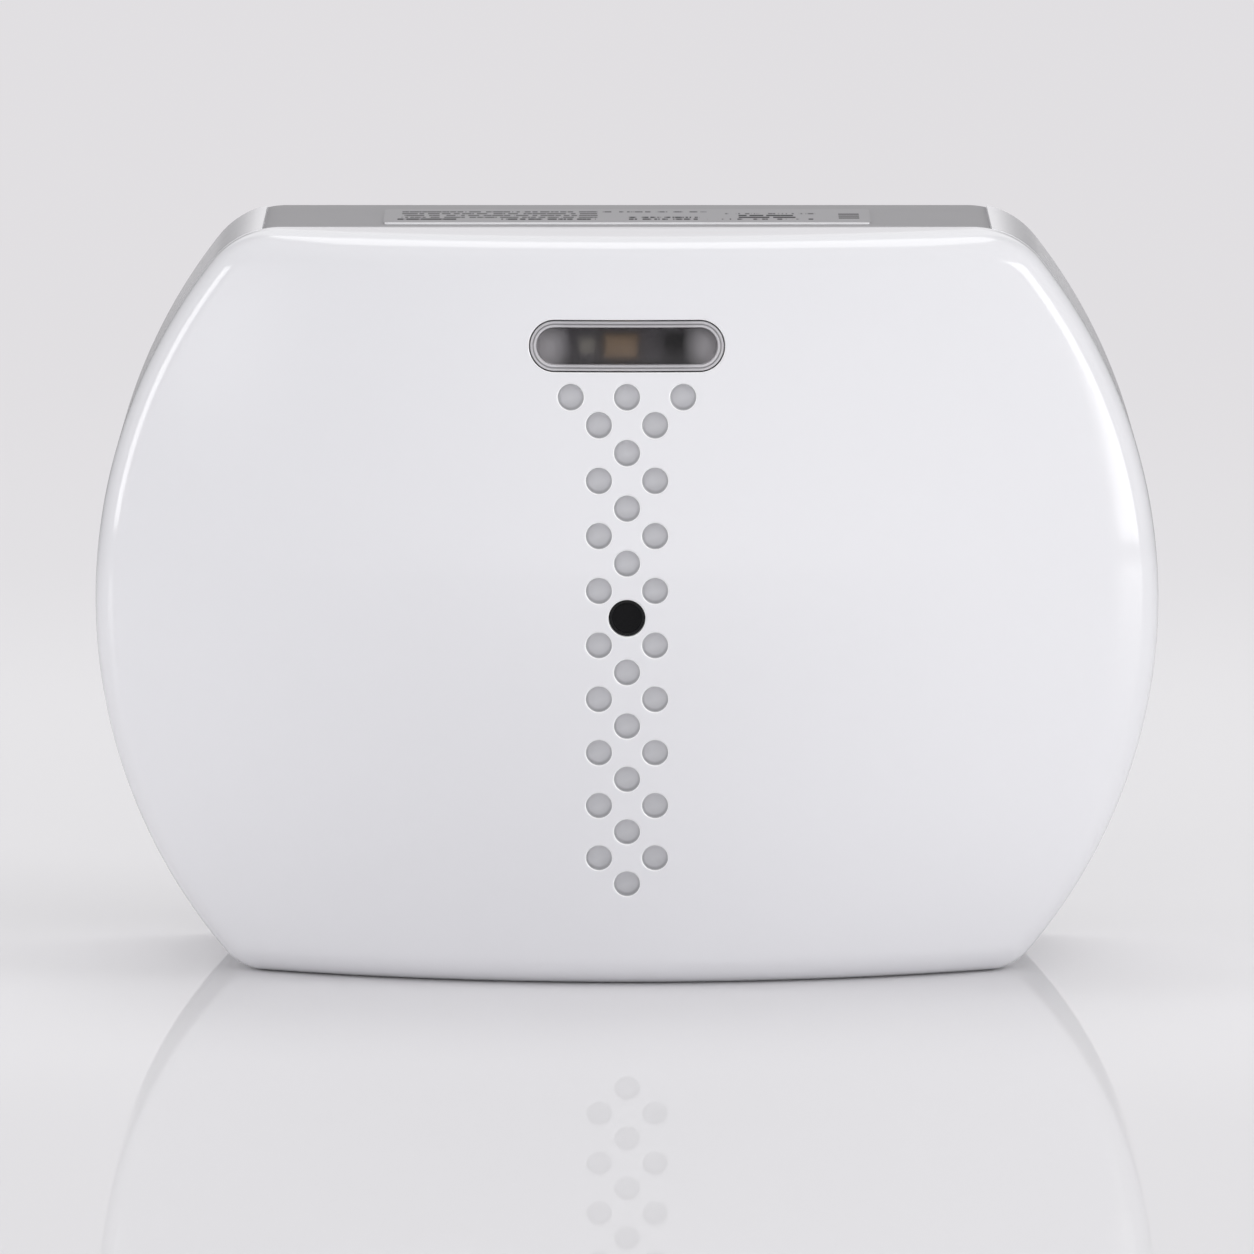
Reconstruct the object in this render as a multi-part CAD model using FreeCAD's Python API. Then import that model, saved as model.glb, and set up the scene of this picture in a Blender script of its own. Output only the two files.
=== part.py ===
import FreeCAD, Part

import math
import os

# A wireless glass break sensor for a wall. Two glossy moulded shells meet at a seam near the middle
# of its depth. Seen from the front the case is a disc with a flat top and a flat bottom,
# and its face is a shallow dome. A smoked window shows the indicator, and a column of blind
# dimples runs down the face around a microphone port. The circuit board is screwed to the cover,
# and the rear base carries the wall screws and a pry-off tab that holds the tamper switch shut.
#
# Frame: +X to the right seen from the front, +Y towards the wall, +Z up. The origin is under the
# middle of the case, on the surface that it stands on. Sizes are in millimetres.

Vec = FreeCAD.Vector
ALONG_X, ALONG_Y, ALONG_Z = Vec(1, 0, 0), Vec(0, 1, 0), Vec(0, 0, 1)

# Case
case_width = 108.0
case_height = 76.0
case_depth = 44.6
side_centre_offset = 2.0  # how far past the middle each bulging side has its centre
top_corner_radius = 9.0
bottom_corner_radius = 5.5
face_rise = 16.63  # how far the dome falls back on its way to the widest places
face_edge_radius = 5.0  # between the dome and the rim
wall = 2.4
back_wall = 2.4
back_edge_radius = 0.6
cover_depth = 20.4  # from the top of the dome to the seam
seam_gap = 0.2

# Lip of the base inside the cover
lip_inset = 1.3
lip_depth = 1.6
lip_clearance = 0.1

# Dimples and microphone port on the face
dimple_diameter = 2.55
dimple_depth = 1.7
dimple_rim_radius = 0.18
dimple_column_spacing = 2.82
dimple_row_spacing = 2.75
dimple_window_gap = 2.4  # from the window down to the middle of the top row
dimple_bottom_gap = 11.0  # from the underside up to the middle of the lowest row
port_diameter = 3.7
port_rise = 0.6  # from the middle of the case up to the port

# Window over the indicator
window_width = 19.7
window_height = 5.1
window_drop = 10.4  # from the top of the case to the middle of the window
lens_gap = 0.12
lens_setback = 0.05
lens_rim_width = 0.6
lens_field_depth = 0.35
lens_flange_width = 1.6
lens_flange_thickness = 1.0
seat_clearance = 0.05
light_box_wall = 1.2
light_box_taper = 2.1  # how far each end wall slopes inwards

# Circuit board
board_setback = 13.5  # from the top of the dome to the board's front face
board_thickness = 1.6
board_width = 66.0
board_bottom_gap = 7.6  # from the underside of the case to the board's lower edge
board_top_gap = 6.4  # from the board's upper edge to the top of the case
board_chamfer = 12.0
post_inset = 4.0  # from the board's sides; the posts are level with the ends of its chamfers
post_diameter = 5.6
post_pin_diameter = 2.2
post_pin_length = 2.6
pin_clearance = 0.15
thread_clearance = 0.02
post_hole_depth = 4.2

# Screws
board_screw_diameter = 2.2
board_screw_length = 5.0
board_screw_head_diameter = 4.4
board_screw_head_height = 1.5
board_screw_head_radius = 0.5
cover_screw_diameter = 2.9
cover_screw_length = 6.6
cover_screw_head_diameter = 5.6
cover_screw_head_height = 1.3
cover_screw_setback = 6.0  # from the seam to the screw's axis
cover_screw_sink = 0.3  # from the underside up to the head
screw_hole_clearance = 0.2
driver_slot_width = 0.8
driver_slot_depth = 0.6
driver_slot_share = 0.33  # of the head's diameter, each way from its middle

# Tongue and hooks that join the cover to the base
tongue_width = 12.0
tongue_thickness = 4.5
tongue_reach = 10.0
tongue_clearance = 0.2
screw_boss_diameter = 9.0
screw_boss_height = 1.2
hook_spacing = 40.0
hook_width = 8.0
hook_thickness = 1.6
hook_drop = 2.1  # from the inner face of the top wall down to the hook
hook_reach = 7.4
hook_barb_height = 1.2
hook_barb_length = 2.0
catch_length = 2.0
catch_clearance = 0.2
root_setback = 2.2  # from the seam forward to the root of the tongue and of each hook
root_length = 3.0
root_sink = 0.6  # how deep each root is set in the wall

# Rear base
wall_screw_spacing = 60.0
wall_screw_hole_diameter = 4.5
wall_screw_pad_diameter = 10.0
wall_screw_pad_height = 1.2
tab_width = 16.0
tab_height = 15.0
tab_corner_radius = 2.0
tab_slot = 1.0
tab_bridge = 1.6
tab_hole_diameter = 4.2
tab_hole_offset = 4.6  # from the post down to the screw hole
tab_post_diameter = 5.0
label_panel_width = 74.0
label_panel_depth = 0.3
rib_thickness = 1.2
rib_height = 1.8
rib_spacing = 38.0

# Label on the top
label_width = 49.6
label_length = 13.6
label_thickness = 0.15
label_corner_radius = 0.8
label_setback = 5.0  # from the seam to its front edge

# Microphone
capsule_diameter = 6.0
capsule_length = 5.0
capsule_lip = 0.25
lead_diameter = 0.5
lead_spacing = 2.54
boot_wall = 1.0
boot_front = 0.8
boot_grip = 4.2  # how far the boot reaches over the capsule
boot_nose_setback = 0.45  # from the face down to the nose
boot_clearance = 0.05
felt_diameter = 3.1
felt_thickness = 0.5
cup_wall = 1.1
cup_depth = 3.4

# Parts behind the window, on the front of the board
front_part_drop = 0.9  # below the window's centre, because the window is seen from a little above
led_width, led_height = 1.6, 0.9
led_well_diameter = 1.1
tantalum_width, tantalum_length, tantalum_height = 3.4, 2.6, 1.9
tantalum_chamfer = 0.3
detector_width, detector_length, detector_height = 2.8, 2.4, 1.1
front_part_gap = 1.3  # from the foot of the box's end wall to the detector
led_gap = 0.9  # between the tantalum capacitor and the LED
tantalum_offset = 0.6  # left of the middle

# Battery and its holder
battery_diameter = 16.8
battery_length = 33.4
battery_edge_radius = 0.8
battery_nub_diameter = 6.0
battery_nub_length = 0.9
holder_edge_gap = 2.4  # from the board's lower edge to the holder
holder_floor = 1.4
holder_wall = 1.3
holder_clearance = 0.3
holder_grip = 0.62  # share of the battery's diameter that the side walls reach
contact_thickness = 0.4
contact_gap = 1.4  # room for each contact
contact_width = 9.0
contact_height = 9.24
spring_bow = 0.9
spring_leaf_length = 4.0

# Switches
switch_width = 6.0
switch_height = 3.4
switch_corner_radius = 0.5
button_diameter = 3.5
button_rise = 1.5
button_travel = 0.25
button_clearance = 0.05
button_depth = 1.6  # how far the button reaches into its body
enroll_x = 22.0
tamper_drop = 11.6  # from the board's upper edge
tamper_body_height = 4.2
tamper_plunger_diameter = 2.4
tamper_plunger_rise = 2.6  # while the tab's post holds it in

# Rows of parts on the rear of the board
lower_row_gap = 6.0  # from the battery holder up to the middle of the lower row
row_spacing = 13.0
leg_thickness = 0.15
leg_share = 0.45  # of the pitch, as the width of a leg
leg_reach = 1.0
chip_lift = 0.1  # from the board to the body of a chip
main_chip_x, main_chip_side, main_chip_height, main_chip_pitch = 14.0, 7.0, 1.2, 0.8
audio_chip_x, audio_chip_height, audio_chip_pitch = -4.0, 1.4, 1.27
audio_chip_width, audio_chip_length = 3.9, 8.7
shield_x, shield_width, shield_length, shield_height = -14.0, 15.0, 13.0, 2.6
shield_sheet = 0.25
shield_corner_radius = 1.0
shield_vent_diameter, shield_vent_spacing = 1.0, 3.0
crystal_x, crystal_width, crystal_length, crystal_height = 1.6, 10.2, 3.8, 3.2
crystal_drop = 4.2  # from the upper row to the middle of the crystal
crystal_foot_width, crystal_foot_height = 0.45, 0.4
reservoir_x, reservoir_diameter, reservoir_length = -29.0, 8.0, 11.5
reservoir_rise = 0.6  # from the lower row up to its axis
reservoir_groove_start, reservoir_groove_width, reservoir_groove_depth = 2.0, 0.8, 0.5
resistor_width, resistor_length, resistor_height = 1.6, 0.8, 0.5
resistor_spacing = 3.2
lower_resistors_x, lower_resistors_drop = -9.6, 1.0  # drop from half way between the rows
upper_resistors_x, upper_resistors_gap = -19.2, 5.1  # gap from the board's upper edge
header_x, header_columns = 11.5, 3
header_height = 2.5
header_pin_width = 0.64
header_pin_reach = 5.5

# Antenna wire
wire_diameter = 0.9
wire_x = -10.0
wire_edge_gap = 8.6  # from the board's upper edge
wire_rise = 6.5
wire_run = 14.3
wire_splay = 3.9
wire_end_gap = 2.4  # from the reservoir capacitor up to the wire's free end
wire_bend = 2.0

# Places that follow from the sizes
y_front = -case_depth / 2
y_back = case_depth / 2
y_seam = y_front + cover_depth
z_middle = case_height / 2
side_radius = case_width / 2 + side_centre_offset
face_radius = ((case_width / 2) ** 2 + face_rise**2) / (2 * face_rise)
port_height = z_middle + port_rise
z_window = case_height - window_drop
y_board = y_front + board_setback
y_board_rear = y_board + board_thickness
z_top_inside = case_height - wall
y_base = y_seam + seam_gap
y_base_inside = y_back - back_wall
z_board_bottom = board_bottom_gap
z_board_top = case_height - board_top_gap
holder_height = battery_diameter + 2 * (holder_clearance + holder_wall)
z_battery = z_board_bottom + holder_edge_gap + holder_height / 2
z_lower_row = z_battery + holder_height / 2 + lower_row_gap
z_upper_row = z_lower_row + row_spacing
tamper_height = z_board_top - tamper_drop


# Shapes that several pieces use


def box(x0, x1, y0, y1, z0, z1):
    return Part.makeBox(x1 - x0, y1 - y0, z1 - z0, Vec(x0, y0, z0))


def rod_x(y, z, diameter, x0, x1):
    return Part.makeCylinder(diameter / 2, x1 - x0, Vec(x0, y, z), ALONG_X)


def rod_y(x, z, diameter, y0, y1):
    return Part.makeCylinder(diameter / 2, y1 - y0, Vec(x, y0, z), ALONG_Y)


def rod_z(x, y, diameter, z0, z1):
    return Part.makeCylinder(diameter / 2, z1 - z0, Vec(x, y, z0), ALONG_Z)


def arc(start, middle, end):
    return Part.Arc(start, middle, end).toShape()


def line(start, end):
    return Part.LineSegment(start, end).toShape()


def case_corner(z_edge, radius, round_radius):
    """Where a corner's round meets the flat edge and the bulging side: two points and the middle."""
    towards_middle = 1 if z_edge < z_middle else -1
    z_round = z_edge + towards_middle * round_radius
    x_round = math.sqrt((radius - round_radius) ** 2 - (z_round - z_middle) ** 2) - side_centre_offset
    on_edge = (x_round, z_edge)
    out_x, out_z = x_round + side_centre_offset, z_round - z_middle
    scale = radius / math.hypot(out_x, out_z)
    on_side = (out_x * scale - side_centre_offset, out_z * scale + z_middle)
    half_x = (on_edge[0] + on_side[0]) / 2 - x_round
    half_z = (on_edge[1] + on_side[1]) / 2 - z_round
    scale = round_radius / math.hypot(half_x, half_z)
    middle = (x_round + half_x * scale, z_round + half_z * scale)
    return on_edge, middle, on_side


def case_outline(inset, y):
    """The case seen from the front, moved in by inset: flat top and bottom, bulging sides."""
    radius = side_radius - inset
    top = case_corner(case_height - inset, radius, top_corner_radius - inset)
    bottom = case_corner(inset, radius, bottom_corner_radius - inset)
    widest = (radius - side_centre_offset, z_middle)

    def right(point):
        return Vec(point[0], y, point[1])

    def left(point):
        return Vec(-point[0], y, point[1])

    return Part.Wire(
        [
            line(left(top[0]), right(top[0])),
            arc(*[right(p) for p in top]),
            arc(right(top[2]), right(widest), right(bottom[2])),
            arc(*[right(p) for p in reversed(bottom)]),
            line(right(bottom[0]), left(bottom[0])),
            arc(*[left(p) for p in bottom]),
            arc(left(bottom[2]), left(widest), left(top[2])),
            arc(*[left(p) for p in reversed(top)]),
        ]
    )


def case_prism(inset, y0, y1):
    return Part.Face(case_outline(inset, y0)).extrude(Vec(0, y1 - y0, 0))


def dome(inset):
    """The ball whose front is the face, moved in by inset."""
    return Part.makeSphere(face_radius - inset, Vec(0, y_front + face_radius, z_middle))


def stadium_wire(width, height, z, y):
    end = (width - height) / 2
    r = height / 2
    return Part.Wire(
        [
            line(Vec(-end, y, z + r), Vec(end, y, z + r)),
            arc(Vec(end, y, z + r), Vec(end + r, y, z), Vec(end, y, z - r)),
            line(Vec(end, y, z - r), Vec(-end, y, z - r)),
            arc(Vec(-end, y, z - r), Vec(-end - r, y, z), Vec(-end, y, z + r)),
        ]
    )


def stadium(width, height, z, y0, y1):
    return Part.Face(stadium_wire(width, height, z, y0)).extrude(Vec(0, y1 - y0, 0))


def face_y(x, z, inset=0.0):
    """How far forward the face is at x and z."""
    radius = face_radius - inset
    return y_front + face_radius - math.sqrt(radius**2 - x**2 - (z - z_middle) ** 2)


def rounded_box_y(x, z, width, height, corner, y0, y1):
    block = box(x - width / 2, x + width / 2, y0, y1, z - height / 2, z + height / 2)
    return block.makeFillet(corner, [e for e in block.Edges if runs_along(e, ALONG_Y)])


def runs_along(edge, direction):
    start, end = edge.Vertexes[0].Point, edge.Vertexes[-1].Point
    return (end - start).Length > 0 and abs((end - start).normalize().dot(direction)) > 0.999


def edges_on(shape, face_test, edge_test):
    """Edges that pass edge_test on faces that pass face_test, each once."""
    found = []
    for face in shape.Faces:
        if face_test(face):
            for edge in face.Edges:
                if edge_test(edge) and not any(edge.isSame(other) for other in found):
                    found.append(edge)
    return found


def is_ball(face, radius):
    return isinstance(face.Surface, Part.Sphere) and abs(face.Surface.Radius - radius) < 1e-6


# Front cover


def cover_form(inset, y_end):
    """A domed disc with a rounded face edge: the cover's outside, or its inside when inset."""
    body = case_prism(inset, y_front - wall, y_end).common(dome(inset))
    rim = edges_on(body, lambda f: is_ball(f, face_radius - inset), lambda e: True)
    return body.makeFillet(face_edge_radius - inset, rim)


def dimple_places():
    """Centres of the dimples as columns and rows counted from the port."""
    rise = z_window - window_height / 2 - dimple_window_gap - port_height
    top_row = 2 * int(rise / (2 * dimple_row_spacing))
    lowest_row = -int((port_height - dimple_bottom_gap) / dimple_row_spacing)
    places = [(column, top_row) for column in (-2, 0, 2)]
    for row in range(lowest_row, top_row):
        if row % 2:
            places += [(-1, row), (1, row)]
        elif row:
            places.append((0, row))
    return [(c * dimple_column_spacing, port_height + r * dimple_row_spacing) for c, r in places]


def dimple_cutter(x, z):
    pin = rod_y(x, z, dimple_diameter, y_front - wall, face_y(x, z) + wall)
    return pin.cut(dome(dimple_depth))


def post_places():
    x = board_width / 2 - post_inset
    heights = (z_board_bottom + board_chamfer, z_board_top - board_chamfer)
    return [(side * x, z) for side in (-1, 1) for z in heights]


def screw_post_places():
    return [p for p in post_places() if (p[0] < 0) == (p[1] > port_height)]


def pin_post_places():
    return [p for p in post_places() if p not in screw_post_places()]


def hook(x):
    """A flexible hook behind the cover's top wall, with a barb that points up."""
    z1 = z_top_inside - hook_drop
    z0 = z1 - hook_thickness
    x0, x1 = x - hook_width / 2, x + hook_width / 2
    y_root = y_seam - root_setback
    y_tip = y_seam + hook_reach
    root = box(x0, x1, y_root - root_length, y_root, z0, z_top_inside + root_sink)
    blade = box(x0, x1, y_root - root_length, y_tip, z0, z1)
    y_barb = y_tip - hook_barb_length
    corners = [Vec(x0, y_barb, z1), Vec(x0, y_barb, z1 + hook_barb_height), Vec(x0, y_tip, z1)]
    barb = Part.Face(Part.makePolygon(corners + corners[:1])).extrude(Vec(hook_width, 0, 0))
    return root.fuse([blade, barb])


def tongue_bottom():
    return wall + screw_boss_height + tongue_clearance


def tongue():
    """A lug behind the cover's bottom wall that the cover screw bites into."""
    half = tongue_width / 2
    z0 = tongue_bottom()
    z1 = z0 + tongue_thickness
    y_root = y_seam - root_setback
    root = box(-half, half, y_root - root_length, y_root, wall - root_sink, z1)
    blade = box(-half, half, y_root - root_length, y_seam + tongue_reach, z0, z1)
    hole = rod_z(0, y_seam + cover_screw_setback, cover_screw_diameter + 2 * thread_clearance, 0, z1 + wall)
    return root.fuse(blade).cut(hole)


def cover_rim_edges(cover):
    """The mouths of the dimples, the port and the window, where they meet the dome."""

    def is_mouth(edge):
        bounds = edge.BoundBox
        far_x = max(abs(bounds.XMin), abs(bounds.XMax))
        inside_rim = bounds.ZMin > case_height / 10 and bounds.ZMax < z_top_inside
        return inside_rim and far_x < window_width / 2 + wall

    return edges_on(cover, lambda f: is_ball(f, face_radius), is_mouth)


def make_front_cover():
    cover = cover_form(0, y_seam).cut(cover_form(wall, y_seam + wall))
    cover = cover.cut(case_prism(lip_inset - lip_clearance, y_seam - lip_depth - seam_gap, y_seam + wall))
    cover = cover.cut([dimple_cutter(x, z) for x, z in dimple_places()])
    y_inside = face_y(0, port_height, wall)
    openings = [
        rod_y(0, port_height, port_diameter, y_front - wall, y_inside + wall),
        stadium(window_width, window_height, z_window, y_front - wall, y_board),
    ]
    cover = cover.cut(openings)
    cover = cover.makeFillet(dimple_rim_radius, cover_rim_edges(cover))
    cup_bore = capsule_diameter + 2 * (boot_wall + boot_clearance)
    cup = rod_y(0, port_height, cup_bore + 2 * cup_wall, y_inside - wall / 2, y_inside + cup_depth)
    cup = cup.cut(rod_y(0, port_height, cup_bore, y_inside - wall, y_inside + cup_depth))
    posts = [rod_y(x, z, post_diameter, face_y(x, z, wall / 2), y_board) for x, z in post_places()]
    y_pin = y_board + post_pin_length
    pins = [rod_y(x, z, post_pin_diameter, y_board - wall, y_pin) for x, z in pin_post_places()]
    hooks = [hook(side * hook_spacing / 2) for side in (-1, 1)]
    cover = cover.fuse([cup, *posts, *pins, *hooks, tongue()])
    pilot = board_screw_diameter + 2 * thread_clearance
    pilots = [rod_y(x, z, pilot, y_board - post_hole_depth, y_board + wall) for x, z in screw_post_places()]
    return cover.cut(pilots)


# Rear base


def wall_screw_places():
    return [(side * wall_screw_spacing / 2, z_middle) for side in (-1, 1)]


def tab_centre_height():
    return tamper_height - tab_hole_offset / 2


def tab_slots():
    """The ring of slots round the pry-off tab, crossed by bridges that snap."""
    z = tab_centre_height()
    y0, y1 = y_base_inside - wall, y_back + wall
    outer_width, outer_height = tab_width + 2 * tab_slot, tab_height + 2 * tab_slot
    outer = rounded_box_y(0, z, outer_width, outer_height, tab_corner_radius + tab_slot, y0, y1)
    ring = outer.cut(rounded_box_y(0, z, tab_width, tab_height, tab_corner_radius, y0, y1))
    far = tab_width
    half = tab_bridge / 2
    bridges = [box(-far, far, y0, y1, z - half, z + half), box(-half, half, y0, y1, z - far, z)]
    return ring.cut(bridges)


def catch(x):
    """The rib under the base's top wall that a hook's barb sits behind."""
    y1 = y_seam + hook_reach - hook_barb_length - catch_clearance
    z0 = z_top_inside - hook_drop + catch_clearance
    half = hook_width / 2 + 1
    return box(x - half, x + half, y1 - catch_length, y1, z0, z_top_inside + root_sink)


def base_ribs():
    """Stiffening ribs on the inside of the back wall, left and right of the tab."""
    y0, y1 = y_base_inside - rib_height, y_base_inside + back_wall / 2
    x_inner = tab_width / 2 + tab_slot + rib_thickness
    x_outer = wall_screw_spacing / 2
    ribs = []
    for side in (-1, 1):
        x0, x1 = sorted((side * x_inner, side * x_outer))
        for z in (z_middle + rib_spacing / 2, z_middle - rib_spacing / 2):
            ribs.append(box(x0, x1, y0, y1, z - rib_thickness / 2, z + rib_thickness / 2))
    return ribs


def make_rear_base():
    body = case_prism(0, y_base, y_back)
    back = [f for f in body.Faces if abs(f.BoundBox.YMin - y_back) < 1e-6]
    body = body.makeFillet(back_edge_radius, back[0].Edges)
    body = body.cut(case_prism(wall, y_base - wall, y_base_inside))
    lip = case_prism(lip_inset, y_seam - lip_depth, y_base + lip_depth)
    lip = lip.cut(case_prism(wall, y_seam - 2 * lip_depth, y_base + 2 * lip_depth))
    y_plunger = y_board_rear + tamper_body_height + tamper_plunger_rise
    y_rooted = y_base_inside + back_wall / 2
    y_pad = y_base_inside - wall_screw_pad_height
    y_screw = y_seam + cover_screw_setback
    added = [lip, *[catch(side * hook_spacing / 2) for side in (-1, 1)], *base_ribs()]
    added.append(rod_y(0, tamper_height, tab_post_diameter, y_plunger, y_rooted))
    added += [rod_y(x, z, wall_screw_pad_diameter, y_pad, y_rooted) for x, z in wall_screw_places()]
    added.append(rod_z(0, y_screw, screw_boss_diameter, wall / 2, wall + screw_boss_height))
    body = body.fuse(added)
    y_inner, y_outer = y_pad - back_wall, y_back + back_wall
    z_tab_hole = tamper_height - tab_hole_offset - tab_post_diameter / 2
    shank_hole = cover_screw_diameter + 2 * screw_hole_clearance
    head_hole = cover_screw_head_diameter + 2 * screw_hole_clearance
    removed = [rod_y(x, z, wall_screw_hole_diameter, y_inner, y_outer) for x, z in wall_screw_places()]
    removed.append(rod_y(0, z_tab_hole, tab_hole_diameter, y_inner, y_outer))
    removed.append(rod_z(0, y_screw, shank_hole, -wall, wall + 2 * screw_boss_height))
    removed.append(rod_z(0, y_screw, head_hole, -wall, cover_screw_sink + cover_screw_head_height))
    removed += [tab_slots(), label_panel()]
    return body.cut(removed)


def label_panel():
    """The shallow flat sunk into the top of the base, from the seam to the back."""
    y0, y1 = y_base - wall, y_back + wall
    above = case_height + wall
    half = label_panel_width / 2
    skin = case_prism(0, y0, y1).cut(case_prism(label_panel_depth, y0 - wall, y1 + wall))
    grown = skin.fuse(box(-half, half, y0, y1, case_height, above))
    return grown.common(box(-half, half, y0, y1, z_middle, above))


def make_top_label():
    y0 = y_seam + label_setback
    z0 = case_height - label_panel_depth
    plate = box(-label_width / 2, label_width / 2, y0, y0 + label_length, z0, z0 + label_thickness)
    return plate.makeFillet(label_corner_radius, [e for e in plate.Edges if runs_along(e, ALONG_Z)])


# Window


def make_window_lens():
    """A smoked plug with a raised rim, and a flange that stays behind the cover's wall."""
    z = z_window
    y0, y1 = y_front - wall, y_board
    plug = stadium(window_width - 2 * lens_gap, window_height - 2 * lens_gap, z, y0, y1)
    plug = plug.common(dome(lens_setback))
    inner_width = window_width - 2 * (lens_gap + lens_rim_width)
    inner_height = window_height - 2 * (lens_gap + lens_rim_width)
    field = stadium(inner_width, inner_height, z, y0, y1).cut(dome(lens_setback + lens_field_depth))
    plug = plug.cut(field)
    flange = stadium(window_width + 2 * lens_flange_width, window_height + 2 * lens_flange_width, z, y0, y1)
    flange = flange.common(dome(wall + seat_clearance))
    back = dome(wall + lens_flange_thickness)
    return plug.cut(back).fuse(flange.cut(back))


def make_light_box():
    """A white frame from the lens to the board, with sloping ends, that keeps stray light out."""
    z = z_window
    y0 = y_front
    outer = stadium(window_width + 2 * light_box_wall, window_height + 2 * light_box_wall, z, y0, y_board)
    mouth = stadium_wire(window_width, window_height, z, y0)
    foot = stadium_wire(window_width - 2 * light_box_taper, window_height, z, y_board)
    outer = outer.common(dome(wall + lens_flange_thickness + seat_clearance))
    return outer.cut(Part.makeLoft([mouth, foot], True, True))


# Microphone


def make_microphone_boot():
    """A rubber sleeve over the capsule, with a nose that fills the port."""
    y_wall = face_y(0, port_height, wall) + seat_clearance
    y_nose = y_front + boot_nose_setback
    y_end = y_wall + boot_front + boot_grip
    outer = rod_y(0, port_height, capsule_diameter + 2 * boot_wall, y_wall, y_end)
    outer = outer.common(dome(wall + seat_clearance))
    nose = rod_y(0, port_height, port_diameter - 2 * boot_clearance, y_nose, y_wall + boot_front)
    bore = rod_y(0, port_height, capsule_diameter + 2 * boot_clearance, y_wall + boot_front, y_end)
    sound_hole = rod_y(0, port_height, felt_diameter - boot_wall, y_nose, y_wall + boot_front)
    felt_seat = rod_y(0, port_height, felt_diameter, y_nose, y_nose + felt_thickness)
    return outer.fuse(nose).cut([bore, sound_hole, felt_seat])


def make_microphone_felt():
    y_nose = y_front + boot_nose_setback
    return rod_y(0, port_height, felt_diameter - 2 * boot_clearance, y_nose, y_nose + felt_thickness)


def make_microphone_capsule():
    """A metal can with two leads that stand on the board."""
    y0 = face_y(0, port_height, wall) + seat_clearance + boot_front
    y1 = y0 + capsule_length
    can = rod_y(0, port_height, capsule_diameter, y0, y1)
    hollow = capsule_diameter - 4 * capsule_lip
    can = can.cut(rod_y(0, port_height, hollow, y1 - capsule_lip, y1))
    leads = [
        rod_y(side * lead_spacing / 2, port_height, lead_diameter, y1 - capsule_length / 2, y_board)
        for side in (-1, 1)
    ]
    return can.fuse(leads)


# Circuit board and what is soldered to it


def make_circuit_board():
    half = board_width / 2
    board = box(-half, half, y_board, y_board_rear, z_board_bottom, z_board_top)
    board = board.makeChamfer(board_chamfer, [e for e in board.Edges if runs_along(e, ALONG_Y)])
    screw_hole = board_screw_diameter + 2 * pin_clearance
    pin_hole = post_pin_diameter + 2 * pin_clearance
    holes = [rod_y(x, z, screw_hole, y_board - wall, y_board_rear + wall) for x, z in screw_post_places()]
    holes += [rod_y(x, z, pin_hole, y_board - wall, y_board_rear + wall) for x, z in pin_post_places()]
    return board.cut(holes)


def front_part(x, width, length, height):
    """A flat block on the board's front face, behind the window."""
    z = z_window - front_part_drop
    return box(x - width / 2, x + width / 2, y_board - height, y_board, z - length / 2, z + length / 2)


def make_status_led():
    x = -tantalum_offset - tantalum_width / 2 - led_gap - led_width / 2
    body = front_part(x, led_width, led_width, led_height)
    z = z_window - front_part_drop
    well = rod_y(x, z, led_well_diameter, y_board - led_height, y_board - led_height / 2)
    return body.cut(well)


def make_tantalum_capacitor():
    body = front_part(-tantalum_offset, tantalum_width, tantalum_length, tantalum_height)
    front = [f for f in body.Faces if abs(f.BoundBox.YMax - (y_board - tantalum_height)) < 1e-6]
    return body.makeChamfer(tantalum_chamfer, front[0].Edges)


def make_tone_detector():
    x_foot = window_width / 2 - light_box_taper
    x = x_foot - front_part_gap - detector_width / 2
    return front_part(x, detector_width, detector_length, detector_height)


def rear_block(x, z, width, length, height, lift=0.0):
    """A block on the board's rear face."""
    y0 = y_board_rear + lift
    return box(x - width / 2, x + width / 2, y0, y0 + height, z - length / 2, z + length / 2)


def chip(x, z, width, length, height, pitch, sides):
    """A chip with a row of bent legs on two or four sides. The body stands a little off the board."""
    leg_width = pitch * leg_share
    pieces = [rear_block(x, z, width, length, height, chip_lift)]
    for along, out in ((length, width), (width, length))[: sides // 2]:
        count = int((along - pitch) / pitch)
        turned = along == width and out == length and sides == 4 and len(pieces) > 1
        for i in range(count):
            offset = (i - (count - 1) / 2) * pitch
            for side in (-1, 1):
                middle = side * (out / 2 + leg_reach / 2)
                place = (x + offset, z + middle) if turned else (x + middle, z + offset)
                size = (leg_width, leg_reach) if turned else (leg_reach, leg_width)
                pieces.append(rear_block(*place, *size, leg_thickness))
                inner = side * (out / 2 + leg_thickness / 2)
                place = (x + offset, z + inner) if turned else (x + inner, z + offset)
                size = (leg_width, leg_thickness) if turned else (leg_thickness, leg_width)
                pieces.append(rear_block(*place, *size, chip_lift + height / 2))
    return pieces[0].fuse(pieces[1:]).removeSplitter()


def make_main_chip():
    side = main_chip_side
    return chip(main_chip_x, z_upper_row, side, side, main_chip_height, main_chip_pitch, 4)


def make_audio_chip():
    width, length = audio_chip_width, audio_chip_length
    return chip(audio_chip_x, z_lower_row, width, length, audio_chip_height, audio_chip_pitch, 2)


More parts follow.
